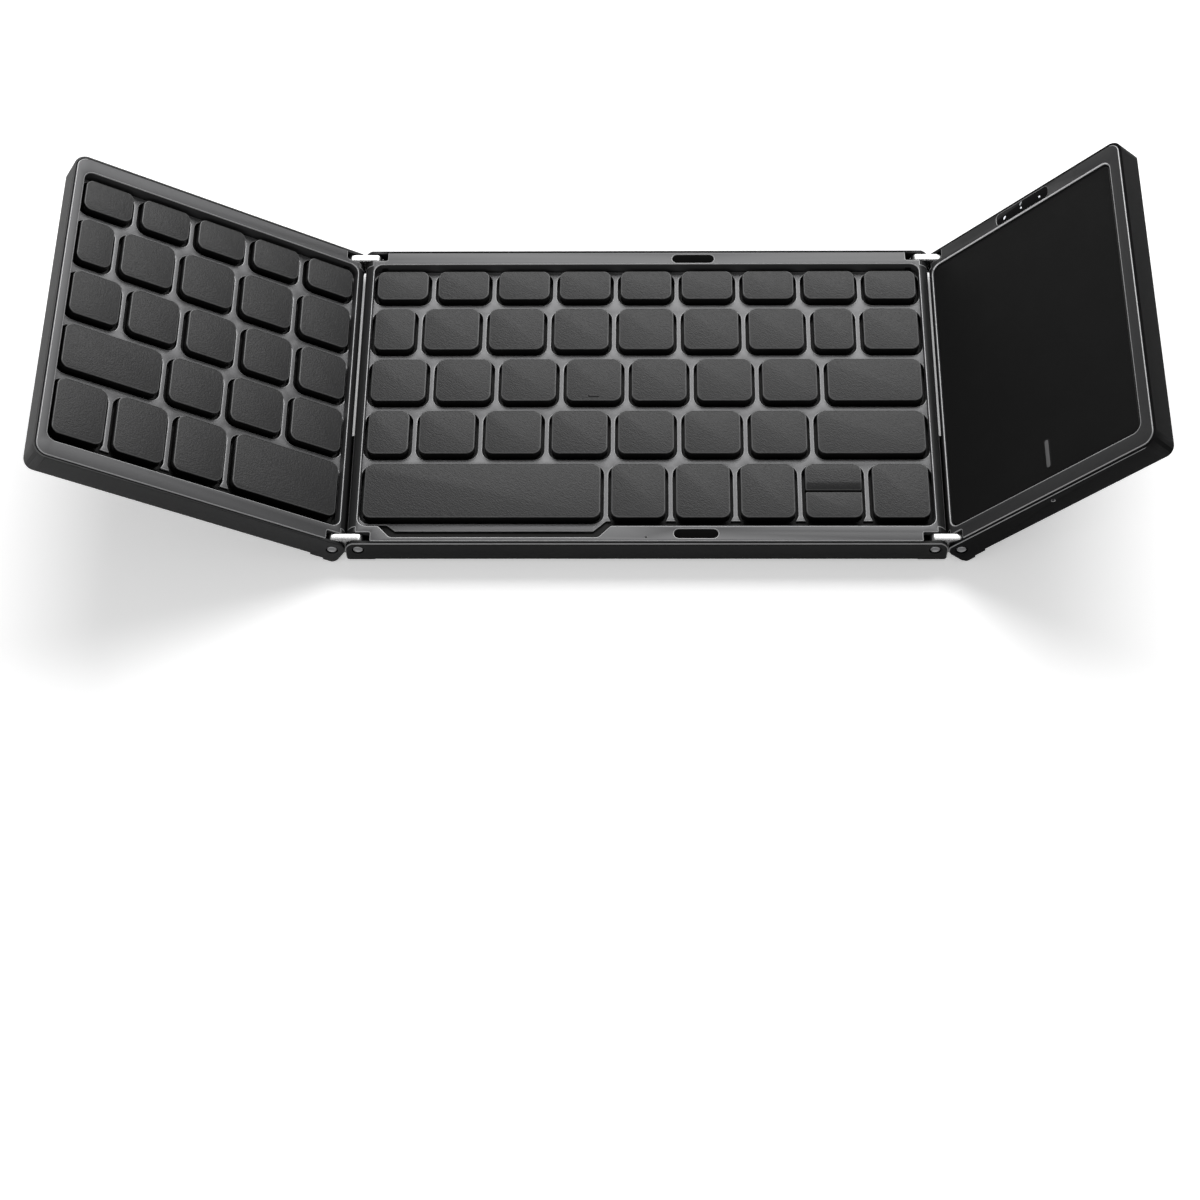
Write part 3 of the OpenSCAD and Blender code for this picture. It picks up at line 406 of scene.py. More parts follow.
def smooth_plastic(name, tint, roughness=0.4, grain=0.012, specular=0.5):
    """Moulded plastic with a faint spark-eroded texture."""
    return clouded(name, tint, (0.85, 1.15), (0.08, 1.0), (7.0, 3.0), (roughness - 0.05, 0.1),
                   (grain, 0.6), specular=specular)


def bright_metal(name, tint, roughness=0.3, turned=False):
    """Links, pins, screws and shells: bare metal with fine tool marks."""
    return clouded(name, tint, (0.92, 1), (0.6, 1.0), (3.0, 3.0), (roughness - 0.06, 0.12),
                   (0.004, 0.5), (6.0, 0.8, 6.0) if turned else (0.5, 7.0, 0.5), metallic=1.0)


def speckled(name, low, high, noise, rough, bump=None, **constants):
    """Finish between two colours by one noise, which also moves its roughness (base, part)
    and, where there is a bump (millimetres, strength), its relief."""
    finish = Finish(name)
    grain = finish.noise(finish.millimetres(), *noise)
    if bump:
        constants["normal"] = finish.bumped(grain, *bump)
    return finish.surface(base_color=finish.mixed(rgba(low), rgba(high), grain),
                          roughness=rough[0] + grain * rough[1], **constants)


def rubber(name, tint):
    """Feet and pads: soft matt rubber with a little dust in its pores."""
    finish = Finish(name)
    pores = finish.noise(finish.millimetres(), 4.0, 4.0, 0.65)
    return finish.surface(
        base_color=finish.shade(tint, 1, 2.2, pores.step(0.5, 0.75) * 0.6),
        roughness=0.6 + pores * 0.25, specular=0.03,
        normal=finish.bumped(pores, 0.02, 0.7))


def anodised(name, tint):
    """Base plates: bead-blasted and anodised aluminium."""
    return clouded(name, tint, (0.9, 1.1), (0.03,), (9.0,), (0.38, 0.12), (0.008, 0.6),
                   blend=lambda drift, beads: drift * 0.7 + beads * 0.3, metallic=0.7)


def matt_film(name, tint):
    """Touchpad: etched dark film, dead matt, with faint wear from fingers."""
    finish = Finish(name)
    point = finish.millimetres()
    etch = finish.noise(point, 10.0)
    wear = finish.noise(point, 0.07)
    return finish.surface(
        base_color=finish.shade(tint, 0.9, 1.15, wear),
        roughness=0.5 + etch * 0.08 - wear.step(0.45, 0.75) * 0.04, specular=0.05,
        normal=finish.bumped(etch, 0.004, 0.5))


def light_guide(name, tint):
    """Frosted light guide, dimly lit."""
    finish = Finish(name)
    glow = finish.shade(tint, 0.75, 1, finish.noise(finish.millimetres(), 6.0))
    return finish.surface(base_color=glow, roughness=0.4, emission_color=glow,
                          emission_strength=0.6)


def circuit_board(name):
    """Boards: solder mask with tracks and bright pads."""
    finish = Finish(name)
    point = finish.millimetres()
    tracks = finish.node("ShaderNodeTexBrick", {"offset": 0.5}, {
        "Vector": point, "Scale": 0.4, "Mortar Size": 0.02, "Color1": (0, 0, 0, 1),
        "Color2": (0, 0, 0, 1), "Mortar": (1, 1, 1, 1)})
    pads = finish.cells(point, 0.7).step(0.12, 0.08)
    mask = finish.mixed((0.01, 0.06, 0.025, 1), (0.02, 0.12, 0.05, 1), tracks)
    return finish.surface(
        base_color=finish.mixed(mask, (0.7, 0.68, 0.6, 1), pads),
        metallic=pads, roughness=0.35, normal=finish.bumped(tracks, 0.03, 0.6))


# Shapes

SHARP = 40  # degrees: a larger turn is an edge
FLAT_ANGLE = math.radians(0.5)  # a smaller turn is none


def outline(corners, steps=7):
    """Closed outline through corners (x, y, radius), each rounded by its radius."""
    loop = []
    for i, (x, y, radius) in enumerate(corners):
        here = Vector((x, y))
        back = (Vector(corners[i - 1][:2]) - here).normalized()
        on = (Vector(corners[(i + 1) % len(corners)][:2]) - here).normalized()
        if radius <= 0:
            loop.append(here)
            continue
        half = back.angle(on) / 2
        middle = here + (back + on).normalized() * radius / math.sin(half)
        start = here + back * radius / math.tan(half) - middle
        end = here + on * radius / math.tan(half) - middle
        turn = start.angle_signed(end)
        loop += [middle + Matrix.Rotation(-turn * k / steps, 2) @ start
                 for k in range(steps + 1)]
    return loop


def rounded(x0, y0, x1, y1, radius, steps=7):
    return outline([(x0, y0, radius), (x1, y0, radius), (x1, y1, radius), (x0, y1, radius)],
                   steps)


def grown(loop, distance):
    """An anticlockwise outline moved outward by a small distance, corner by corner."""
    moved = []
    for i, here in enumerate(loop):
        before = (here - loop[i - 1]).normalized()
        after = (loop[(i + 1) % len(loop)] - here).normalized()
        n0, n1 = Vector((before.y, -before.x)), Vector((after.y, -after.x))
        moved.append(here + (n0 + n1) / (1 + n0.dot(n1)) * distance)
    return moved


def rounding(size, steps=4):
    """Quarter round as (height below the edge's top, inset), from the side to the top."""
    turns = [math.pi / 2 * k / steps for k in range(steps + 1)]
    return [(size * (1 - math.sin(t)), size * (1 - math.cos(t))) for t in turns]


def levels(low, high, low_edge=0.0, high_edge=0.0, steps=4):
    """Heights and insets of a plate's outline, from its underside to its top."""
    under = rounding(low_edge, steps)[::-1] if low_edge else [(0.0, 0.0)]
    over = rounding(high_edge, steps) if high_edge else [(0.0, 0.0)]
    return [(low + drop, inset) for drop, inset in under] + \
        [(high - drop, inset) for drop, inset in over]


def bridge(bm, lower, upper, slot=0, flip=False):
    """Band of faces between two rings of vertices."""
    for i in range(len(lower)):
        j = (i + 1) % len(lower)
        quad = (lower[i], lower[j], upper[j], upper[i])
        bm.faces.new(quad[::-1] if flip else quad).material_index = slot


def add_plate(bm, outer, holes, heights, shares=(), slot=0, edge_slot=None):
    """Plate with holes: each outline is anticlockwise, heights come from levels().
    shares are the shares of the rounding that the holes get, where it isn't all of it.
    slot is the plate's material, and edge_slot that of its roundings where it differs."""
    edge_slot = slot if edge_slot is None else edge_slot
    stacks = []
    shares = [1] + list(shares) + [1] * (len(holes) - len(shares))
    for loop, sign, share in zip([outer] + holes, [-1] + [1] * len(holes), shares):
        stack = []
        for height, inset in heights:
            shape = grown(loop, sign * inset * share) if inset else loop
            stack.append([bm.verts.new((p.x, p.y, height)) for p in shape])
        stacks.append(stack)
        for (_, inset), lower, upper in zip(heights[1:], stack, stack[1:]):
            bridge(bm, lower, upper, edge_slot if inset else slot, flip=sign > 0)
    for end, sign in ((0, -1), (-1, 1)):
        rings = [stack[end] for stack in stacks]
        if len(rings) == 1:
            face = bm.faces.new(rings[0] if sign > 0 else list(reversed(rings[0])))
            face.material_index = slot
            continue
        verts = [vert for ring in rings for vert in ring]
        loops, first = [], 0
        for ring in rings:
            loops.append(list(range(first, first + len(ring))))
            first += len(ring)
        flat = [Vector((v.co.x / MM, v.co.y / MM)) for v in verts]
        edges = [(loop[i - 1], loop[i]) for loop in loops for i in range(len(loop))]
        _, _, faces, source, _, _ = delaunay_2d_cdt(flat, edges, [], 1, 1e-6)
        for face in faces:
            ids = [source[i][0] for i in face]
            a, b, c = (flat[i] for i in ids)
            middle = (a + b + c) / 3
            if any(encloses(loop, middle, flat) != (loop is loops[0]) for loop in loops):
                continue
            if (b - a).cross(c - a) * sign < 0:
                ids.reverse()
            bm.faces.new([verts[i] for i in ids]).material_index = slot


def add_slab(bm, low, high, radius, heights, slot=0, edge_slot=None):
    """Plate without holes between two corners."""
    add_plate(bm, rounded(low.x, low.y, high.x, high.y, radius), [], heights, slot=slot,
              edge_slot=edge_slot)


def encloses(loop, point, flat):
    """Whether a closed loop of indices into flat goes round a point."""
    inside = False
    for i, j in zip(loop, loop[1:] + loop[:1]):
        a, b = flat[i], flat[j]
        if (a.y > point.y) != (b.y > point.y):
            if point.x < a.x + (point.y - a.y) / (b.y - a.y) * (b.x - a.x):
                inside = not inside
    return inside


def add_lathe(bm, profile, place):
    """Turned shape about its z axis from (radius, height) points, moved by place."""
    steps = 32
    turns = [2 * math.pi * k / steps for k in range(steps)]
    rings = [[bm.verts.new(place @ Vector((radius * math.cos(t), radius * math.sin(t), height)))
              for t in turns] for radius, height in profile]
    for lower, upper in zip(rings, rings[1:]):
        bridge(bm, lower, upper)
    bm.faces.new(list(reversed(rings[0])))
    bm.faces.new(rings[-1])


def cut_along(bm, axis, places):
    """Cuts every face where an axis has the given values, so that it can bend there."""
    normal = Vector([1.0 if k == axis else 0.0 for k in range(3)])
    for value in places:
        bmesh.ops.bisect_plane(bm, geom=list(bm.verts) + list(bm.edges) + list(bm.faces),
                               plane_co=normal * value, plane_no=normal, dist=1e-7)


def join(bm, other):
    """Adds another bmesh's geometry to bm."""
    mesh = bpy.data.meshes.new("part")
    other.to_mesh(mesh)
    other.free()
    bm.from_mesh(mesh)
    bpy.data.meshes.remove(mesh)


def repaint(bm, slot, chosen):
    """Puts the faces that chosen(slot, middle) picks into a material slot."""
    for face in bm.faces:
        if chosen(face.material_index, face.calc_center_median()):
            face.material_index = slot


def piece(name, bm, finishes, body, node=None, place=None, sharp=SHARP):
    """Turns a bmesh drawn in a section's axes into an object that rides on a body and
    replaces a CAD node."""
    place = place or PLACES[body]
    if place.determinant() < 0:
        bmesh.ops.reverse_faces(bm, faces=bm.faces)
    mesh = bpy.data.meshes.new(name)
    bm.to_mesh(mesh)
    bm.free()
    mesh.transform(place)
    for material in finishes if isinstance(finishes, (list, tuple)) else [finishes]:
        mesh.materials.append(material)
    mesh.shade_smooth()
    mesh.set_sharp_from_angle(angle=math.radians(sharp))
    obj = bpy.data.objects.new(name, mesh)
    bpy.context.scene.collection.objects.link(obj)
    if body:
        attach(obj, body)
    if node:
        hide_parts(node)
    return obj


def soften(node, body, size, slot, chosen):
    """A CAD node's surface in a section's axes, with sharp edges rounded in a material slot
    where chosen(edge's ends, normals) says so."""
    place = PLACES[body]
    bm = bmesh.new()
    bm.from_mesh(frame["nodes"][node].data)
    bmesh.ops.transform(bm, matrix=place.inverted(), verts=bm.verts)
    if place.determinant() < 0:
        bmesh.ops.reverse_faces(bm, faces=bm.faces)
    bmesh.ops.remove_doubles(bm, verts=bm.verts, dist=WELD)
    bmesh.ops.dissolve_limit(bm, angle_limit=FLAT_ANGLE, verts=bm.verts, edges=bm.edges)
    bm.normal_update()
    repaint(bm, 0, lambda *_: True)
    edges = [e for e in bm.edges if len(e.link_faces) == 2
             and e.calc_face_angle(0) > math.radians(SHARP)
             and chosen([v.co for v in e.verts], [f.normal for f in e.link_faces])]
    bmesh.ops.bevel(bm, geom=edges, offset=size, offset_type="OFFSET", segments=3,
                    profile=0.5, affect="EDGES", clamp_overlap=False, material=slot)
    return bm


def dress(node, material, edge=0.0):
    """Gives a CAD node its finish and, where edge is set, slightly rounded edges."""
    obj = frame["nodes"][node]
    obj.data.materials.clear()
    obj.data.materials.append(material)
    if edge:
        weld = obj.modifiers.new("weld", "WELD")
        weld.merge_threshold = WELD
        bevel = obj.modifiers.new("edge", "BEVEL")
        bevel.width = edge
        bevel.segments = 2
        bevel.limit_method = "ANGLE"
        bevel.angle_limit = math.radians(SHARP)
        bevel.use_clamp_overlap = False
        bevel.harden_normals = True


# Pieces

LINK_BOX = solids_of("right_hinge_links", "right_link")[0]
LINK_R = (LINK_BOX[1].z - LINK_BOX[0].z) / 2
LINK_CORNER = 1.6 * MM
LINK_EDGE = 0.3 * MM
SWING_GAP = 0.3 * MM  # round a link's end
SIDE_PLAY = 0.1 * MM  # beside a link
LUG_F0 = LINK_BOX[1].y + 2 * SIDE_PLAY
LUG_F1 = LUG_F0 + 1.5 * MM + SIDE_PLAY
SHELF = 0.8 * MM  # frame over the lugs, past the pin
HINGE_RADII = [r * MM for r in (0.3, 0.5, 0.3, 0.1, 0.3)]
END_CUTS = (0, 12, 24, 36, 48, 58, 67, 75, 82)  # degrees round a section's end
END_SHADE = 0.65 * MM  # painted shade on an end starts here, past the pin


def hinge_end(front, sign, at, edge):
    """Corners of a frame's outline at one hinge corner, from the front face inward."""
    ins = at - sign * (LINK_R + SWING_GAP)
    steps = [(ins, edge), (ins, LUG_F0), (at + sign * SHELF, LUG_F0),
             (at + sign * SHELF, LUG_F1), (at + sign * END_R, LUG_F1)]
    return [(x, v if front else DEPTH - v, r) for (x, v), r in zip(steps, HINGE_RADII)]


def centre_rim_outline(edge):
    right_front, right_rear, left_rear, left_front = (
        hinge_end(front, sign, sign * PIN_X, edge)
        for front, sign in ((True, 1), (False, 1), (False, -1), (True, -1)))
    return outline(right_front + right_rear[::-1] + left_rear + left_front[::-1])


def wing_rim_outline(width, edge, radius):
    front, rear = (hinge_end(is_front, -1, 0.0, edge) for is_front in (True, False))
    outer, r = width - edge, radius - edge
    return outline([(outer, edge, r), (outer, DEPTH - edge, r)] + rear + front[::-1])


def round_over(bm, ends):
    """Lowers what lies past a pin to the quarter round of a section's end.
    ends are (pin's u, direction) pairs."""
    for pin, sign in ends:
        cut_along(bm, 0, [pin + sign * END_R * math.sin(math.radians(a)) for a in END_CUTS])
    for vert in bm.verts:
        for pin, sign in ends:
            past = (vert.co.x - pin) * sign
            if past > 0:
                drop = END_R - math.sqrt(max(END_R ** 2 - past ** 2, 0.0))
                vert.co.z = min(vert.co.z, SECTION_H - drop)


# Material slots of a frame: paint, painted highlight on the rounded edges, black painted shade,
# painted light (the web's lighter paint on a section with keys, the lip's painted highlight
# behind the touchpad) and painted shade on the rounded ends
PAINT, EDGE_HIGHLIGHT, PAINTED_SHADE, PAINTED_LIGHT, SHADED_END = range(5)


def add_rim(bm, outer, holes, shares, s, ends):
    """Rim plate with painted highlight on its rounded edges, whose ends past the pins are
    rounded and carry painted shade and whose rear edge is painted black as shade;
    shares as in add_plate(), ends as in round_over()."""
    rim = bmesh.new()
    low = s.web_top - s.web_thickness
    add_plate(rim, outer, holes, levels(low, SECTION_H, 0, s.rim_edge), shares, edge_slot=EDGE_HIGHLIGHT)
    rear = max(p.y for p in outer) - s.rim_edge
    # painted shade: the rim's rear edge takes the seat's black
    repaint(rim, PAINTED_SHADE, lambda slot, middle: slot == EDGE_HIGHLIGHT and middle.y > rear)
    round_over(rim, ends)
    # painted shade on the rounded ends past the pins
    repaint(rim, SHADED_END, lambda slot, middle: slot == PAINT and any(
        (middle.x - pin) * sign > END_SHADE for pin, sign in ends))
    join(bm, rim)


def key_nodes(left):
    return [s["node"] for s in frame["record"]["subparts"]
            if s["material_slot"] == "key_plastic" and s["node"].startswith("left_") == left]


CENTRE_KEYS, LEFT_KEYS = key_nodes(False), key_nodes(True)
SPLIT_KEYS = ("down_key", "up_key")  # they share one hole
SPLIT_R = 0.6 * MM  # their corners towards each other
FINGER_KEY = "home_key_4"
END_HOLE = 2.0 * MM  # a hole this near to the well's side reaches it
SEAT_H = 0.2 * MM  # seat under the web, painted black as shade
SEAT_OVER = 0.3 * MM  # seat under the rim
WEB_OVER = 0.7 * MM  # web in the rim's wall
BAR_GAP = 0.05 * MM  # bars' front ends, past the keys' front
FOOT_FLARE, FOOT_LEN, FOOT_R = 0.7 * MM, 1.6 * MM, 2.0 * MM
WALL_FOOT_R = 0.3 * MM
RECESS_GAP = 0.1 * MM  # round the pads and the window
WINDOW_RECESS_R = 1.2 * MM
WINDOW_SHARE = 0.4  # window's recess: share of the rim's rounding
LIP_REACH = 0.4 * MM  # faces this near to the lip belong to it
PINHOLE_R, PINHOLE_V, PINHOLE_SHARE = 0.25 * MM, 2 * MM, 0.1
# thumb relief: its ends from the space bar's, its front edge, slopes and corners
RELIEF_LEFT, RELIEF_RIGHT = 7.6 * MM, 0.5 * MM
RELIEF_V, RELIEF_SLOPE, RELIEF_R = 2.0 * MM, 3.2 * MM, 1.2 * MM
# web's front edge there: u from the relief's left or right end, v from the space bar, radius
WEB_RELIEF = [(start, u * MM, v * MM, r * MM) for start, u, v, r in (
    ("left", 1.9, -1.25, 0.6), ("left", 4.2, -3.15, 0.6), ("right", -1.35, -3.15, 0.6),
    ("right", 2.0, 0.05, 0.1))]


def recess(low, high, radius):
    """Outline round a piece that lies in a rim."""
    return rounded(low.x - RECESS_GAP, low.y - RECESS_GAP, high.x + RECESS_GAP,
                   high.y + RECESS_GAP, radius)


def bar_foot(x, end, turn):
    """Front end of a bar's side: it flares by turn (1, -1, or 0 at the well's wall)."""
    if not turn:
        return [(x, end, WALL_FOOT_R)]
    return [(x + turn * FOOT_FLARE, end, 0), (x, end + FOOT_LEN, FOOT_R)]


class KEYBOARD_OT_frames(bpy.types.Operator):
    """Top frames: rim, key well and the web between the keys"""
    bl_idname = "keyboard.frames"
    bl_label = "Frames"

    def execute(self, context):
        s = settings(context).frames
        # paints by slot: the edge paint is painted highlight, the seat's black and the end paint
        # are painted shade, the web paint is painted light
        paints = [satin_paint("frame_paint", s.paint),
                  satin_paint("frame_edge_highlight", s.edge_highlight),
                  smooth_plastic("web_seat_painted_shade", grey(0.003), 0.6, specular=0.2),
                  satin_paint("web_lit_paint", s.web_lit_paint), satin_paint("end_shade_paint", s.end_shade_paint)]
        piece("center_frame", self.center(s), paints, "center", "center_top_frame")
        piece("left_frame", self.wing(s, "left", s.left_rim, s.rear_rim), paints, "left_wing",
              "left_top_frame")
        # the right wing's frame takes the darker paint as painted shade and the lip paint as
        # painted highlight
        paints[PAINT] = satin_paint("right_frame_shaded_paint", s.right_shaded_paint)
        paints[PAINTED_LIGHT] = satin_paint("lip_highlight_paint", s.lip_highlight_paint)
        piece("right_frame", self.wing(s, "right", s.right_rim, s.right_rear_rim), paints,
              "right_wing", "right_top_frame")
        return {"FINISHED"}

    def center(self, s):
        """Frame with the thumb relief before the space bar, the pads' recesses and a pinhole."""
        well_x, front, rear = PIN_X + s.well_over, s.front_rim, DEPTH - s.rear_rim
        bar_low, bar_high = solids_of("space_bar", "center")[0]
        left, right = bar_low.x + RELIEF_LEFT, bar_high.x - RELIEF_RIGHT
        well = outline([
            (-well_x, front, s.well_radius), (left - RELIEF_SLOPE, front, RELIEF_R),
            (left, RELIEF_V, RELIEF_R), (right, RELIEF_V, RELIEF_R),
            (right + RELIEF_SLOPE, front, RELIEF_R), (well_x, front, s.well_radius),
            (well_x, rear, s.well_radius), (-well_x, rear, s.well_radius)])
        pads = [recess(low, high, (high.y - low.y) / 2 + 0.8 * RECESS_GAP)
                for low, high in solids_of("center_bumper_pads", "center")]
        pinhole = rounded(-PINHOLE_R, PINHOLE_V - PINHOLE_R, PINHOLE_R, PINHOLE_V + PINHOLE_R,
                          0.98 * PINHOLE_R, 3)
        bm = bmesh.new()
        add_rim(bm, centre_rim_outline(s.edge_gap), [well] + pads + [pinhole],
                [1, 1, 1, PINHOLE_SHARE], s, [(PIN_X, 1), (-PIN_X, -1)])
        starts = {"left": left - RELIEF_SLOPE, "right": right}
        self.add_web(bm, s, well, CENTRE_KEYS, "center",
                     [(starts[start] + u, bar_low.y + v, r) for start, u, v, r in WEB_RELIEF])
        return bm

    def wing(self, s, side, side_rim, rear_rim):
        """Frame of a wing; the right one has the window's recess and a lip with painted
        highlight.
        """
        body = SECTIONS[side]
        width = solids_of(side + "_bottom_case", body)[0][1].x
        rear = DEPTH - rear_rim
        holes = [rounded(-s.well_over, s.front_rim, width - side_rim, rear, s.well_radius)]
        shares = [1]
        if side == "right":
            low, high = solids_of("indicator_window", body)[0]
            holes.append(recess(low, high, WINDOW_RECESS_R))
            shares = [s.pad_lip / s.rim_edge, WINDOW_SHARE]
        bm = bmesh.new()
        add_rim(bm, wing_rim_outline(width, s.edge_gap, s.corner_radius), holes, shares, s,
                [(0.0, -1)])
        if side == "left":
            self.add_web(bm, s, holes[0], LEFT_KEYS, body)
        else:
            # painted highlight on the rounded lip behind the touchpad
            end = low.y - RECESS_GAP - 0.05 * MM
            repaint(bm, PAINTED_LIGHT, lambda slot, middle: slot == EDGE_HIGHLIGHT and middle.y < end
                    and abs(middle.y - rear) < s.pad_lip + LIP_REACH)
        return bm

    @staticmethod
    def add_web(bm, s, well, nodes, body, relief=()):
        """Web between the keys, on a seat that reaches a little under the rim and is painted
        black as shade. The front row's holes open into the groove before the web; relief is the
        line of its front edge round a hole that stays closed."""
        boxes = [box for node in nodes if node not in SPLIT_KEYS
                 for box in solids_of(node, body)]
        if relief:
            down, up = (solids_of(node, body)[0] for node in SPLIT_KEYS)
            boxes.append((down[0], up[1]))
        gap = Vector((s.hole_gap, s.hole_gap, 0))
        boxes = sorted(((a - gap, b + gap) for a, b in boxes), key=lambda box: box[0].x)
        well_low, well_high = (pick(p.x for p in well) for pick in (min, max))
        rear = max(p.y for p in well) - s.web_groove
        for a, b in boxes:
            if a.x < well_low + END_HOLE:
                a.x = well_low + TINY
            if b.x > well_high - END_HOLE:
                b.x = well_high - TINY
            b.y = min(b.y, rear - 2 * s.web_edge - TINY)
        radius = s.key_radius + s.hole_gap
        holes = [rounded(a.x, a.y, b.x, b.y, radius) for a, b in boxes]
        seat_low = s.web_top - s.web_thickness
        seat_top = seat_low + SEAT_H
        seat = bmesh.new()
        # the seat is painted black as shade in the groove and under the keys
        add_plate(seat, grown(well, SEAT_OVER), holes, levels(seat_low, seat_top), slot=PAINTED_SHADE)
        join(bm, seat)
        front = min(a.y for a, b in boxes)
        bars_end = front + s.hole_gap + BAR_GAP
        low_x, high_x = well_low - WEB_OVER, well_high + WEB_OVER
        line = [(low_x, relief[0][1] if relief else bars_end, 0)] + list(relief)
        closed = []
        for (a, b), hole in zip(boxes, holes):
            if a.y > front + TINY or (relief and a.x < relief[-1][0]):
                closed.append(hole)
                continue
            line += bar_foot(a.x, bars_end, 1 if a.x > well_low + TINY * 2 else 0)
            line += [(a.x, b.y, radius), (b.x, b.y, radius)]
            line += bar_foot(b.x, bars_end, -1 if b.x < well_high - TINY * 2 else 0)[::-1]
        line += [(high_x, bars_end, 0), (high_x, rear, 0), (low_x, rear, 0)]
        # the web's walls are painted black as shade, its rounding has painted highlight and its
        # top the lighter web paint as painted light
        web = bmesh.new()
        add_plate(web, outline(line), closed, levels(seat_top, s.web_top, 0, s.web_edge),
                  slot=PAINTED_SHADE, edge_slot=EDGE_HIGHLIGHT)
        repaint(web, PAINTED_LIGHT, lambda slot, middle: slot == PAINTED_SHADE and middle.z > s.web_top - TINY)
        join(bm, web)


TOP, SIDE, KEY_HIGHLIGHT = range(3)  # material slots of a key; the third is painted highlight on the upper edge
LEVEL = TINY / 20  # a face less far below the top is the top
BAR_V, BAR_W, BAR_R, BAR_H = 1.2 * MM, 0.6 * MM, 0.28 * MM, 0.2 * MM


class KEYBOARD_OT_keys(bpy.types.Operator):
    """Key caps with a rounded upper edge, black sides and a grained top"""
    bl_idname = "keyboard.keys"
    bl_label = "Key caps"

    def execute(self, context):
        keys, radius = settings(context).keys, settings(context).frames.key_radius
        # the third finish is painted highlight on the keys' rounded upper edges
        finishes = [grained_plastic("key_top", keys.top),
                    smooth_plastic("key_side", keys.side, 0.45, 0.006, specular=0.25),
                    smooth_plastic("key_edge_highlight", keys.edge, 0.4, 0.01)]
        plain_top = solids_of("space_bar", "center")[0][1].z
        for node in CENTRE_KEYS + LEFT_KEYS:
            section = "left_wing" if node in LEFT_KEYS else "center"
            # up has small corners at its front, and down at its rear
            front, rear = (SPLIT_R if node == name else radius for name in SPLIT_KEYS[::-1])
            bm = bmesh.new()
            for low, high in solids_of(node, section):
                if node == FINGER_KEY:
                    high.z = plain_top
                self.add_cap(bm, low, high, front, rear, keys.fillet)
            if node == "up_key":
                self.add_valley(bm, low, high, keys)
            if node == FINGER_KEY:
                self.add_bar(bm, low, high, keys.bar_length)
            piece(node + "_top", bm, finishes, frame["nodes"][node]["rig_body"], node,
                  PLACES[section], sharp=50)
        return {"FINISHED"}

    @staticmethod
    def add_cap(bm, low, high, front, rear, fillet):
        """Cap between two corners; front and rear are its corner radii. Its rounded upper edge
        carries painted highlight, except at the rear edge, which stays dark, as the sides do."""
        shape = outline([(low.x, low.y, front), (high.x, low.y, front),
                         (high.x, high.y, rear), (low.x, high.y, rear)], 9)
        cap = bmesh.new()
        add_plate(cap, shape, [], levels(low.z, high.z, 0, fillet))
        repaint(cap, KEY_HIGHLIGHT, lambda slot, middle: high.z - middle.z > LEVEL)
        repaint(cap, SIDE, lambda slot, middle: high.z - middle.z > fillet * 0.6
                or (slot == KEY_HIGHLIGHT and middle.y > high.y - fillet))
        join(bm, cap)

    @staticmethod
    def add_valley(bm, low, high, keys):
        """Slopes the up key's front down towards its partner."""
        parts = 8
        cut_along(bm, 1, [low.y + keys.valley * k / parts for k in range(1, parts + 1)])
        floor = high.z - keys.fillet - keys.valley_depth
        for vert in bm.verts:
            share = 1 - (vert.co.y - low.y) / keys.valley
            if share > 0 and vert.co.z > floor:
                vert.co.z -= keys.valley_depth * min(share, 1.0) ** 1.5

    @staticmethod
    def add_bar(bm, low, high, span):
        """Raised mark near the key's front."""
        start = Vector(((low.x + high.x - span) / 2, low.y + BAR_V))
        add_slab(bm, start, start + Vector((span, BAR_W)), BAR_R,
                 levels(high.z - BAR_H / 2, high.z + BAR_H, 0, BAR_H * 0.75, steps=3))


CASE_ROUNDING = 0.2 * MM
LOWER_EDGE = 0.95 * MM  # edges under this height are lower edges
PIN_HOLE_R = 1.8 * MM  # holes of the pins' heads lie within this
REAR_EDGE = 0.5 * MM  # faces this near to the rear get no painted highlight
SIDE_START = 10 * MM  # upper edges are rounded from here, past the pin
WING_MIDDLE = 30 * MM
# sheen and tint of each section's case plastic, set for how light falls on it: painted sheen,
# and painted shade on the right
PAINTED_SHEENS = {"center": 0.2, "left": 0.5, "right": 0.08}
SHADED_CASE_TINTS = {"center": 1.0, "left": 1.0, "right": 0.5}


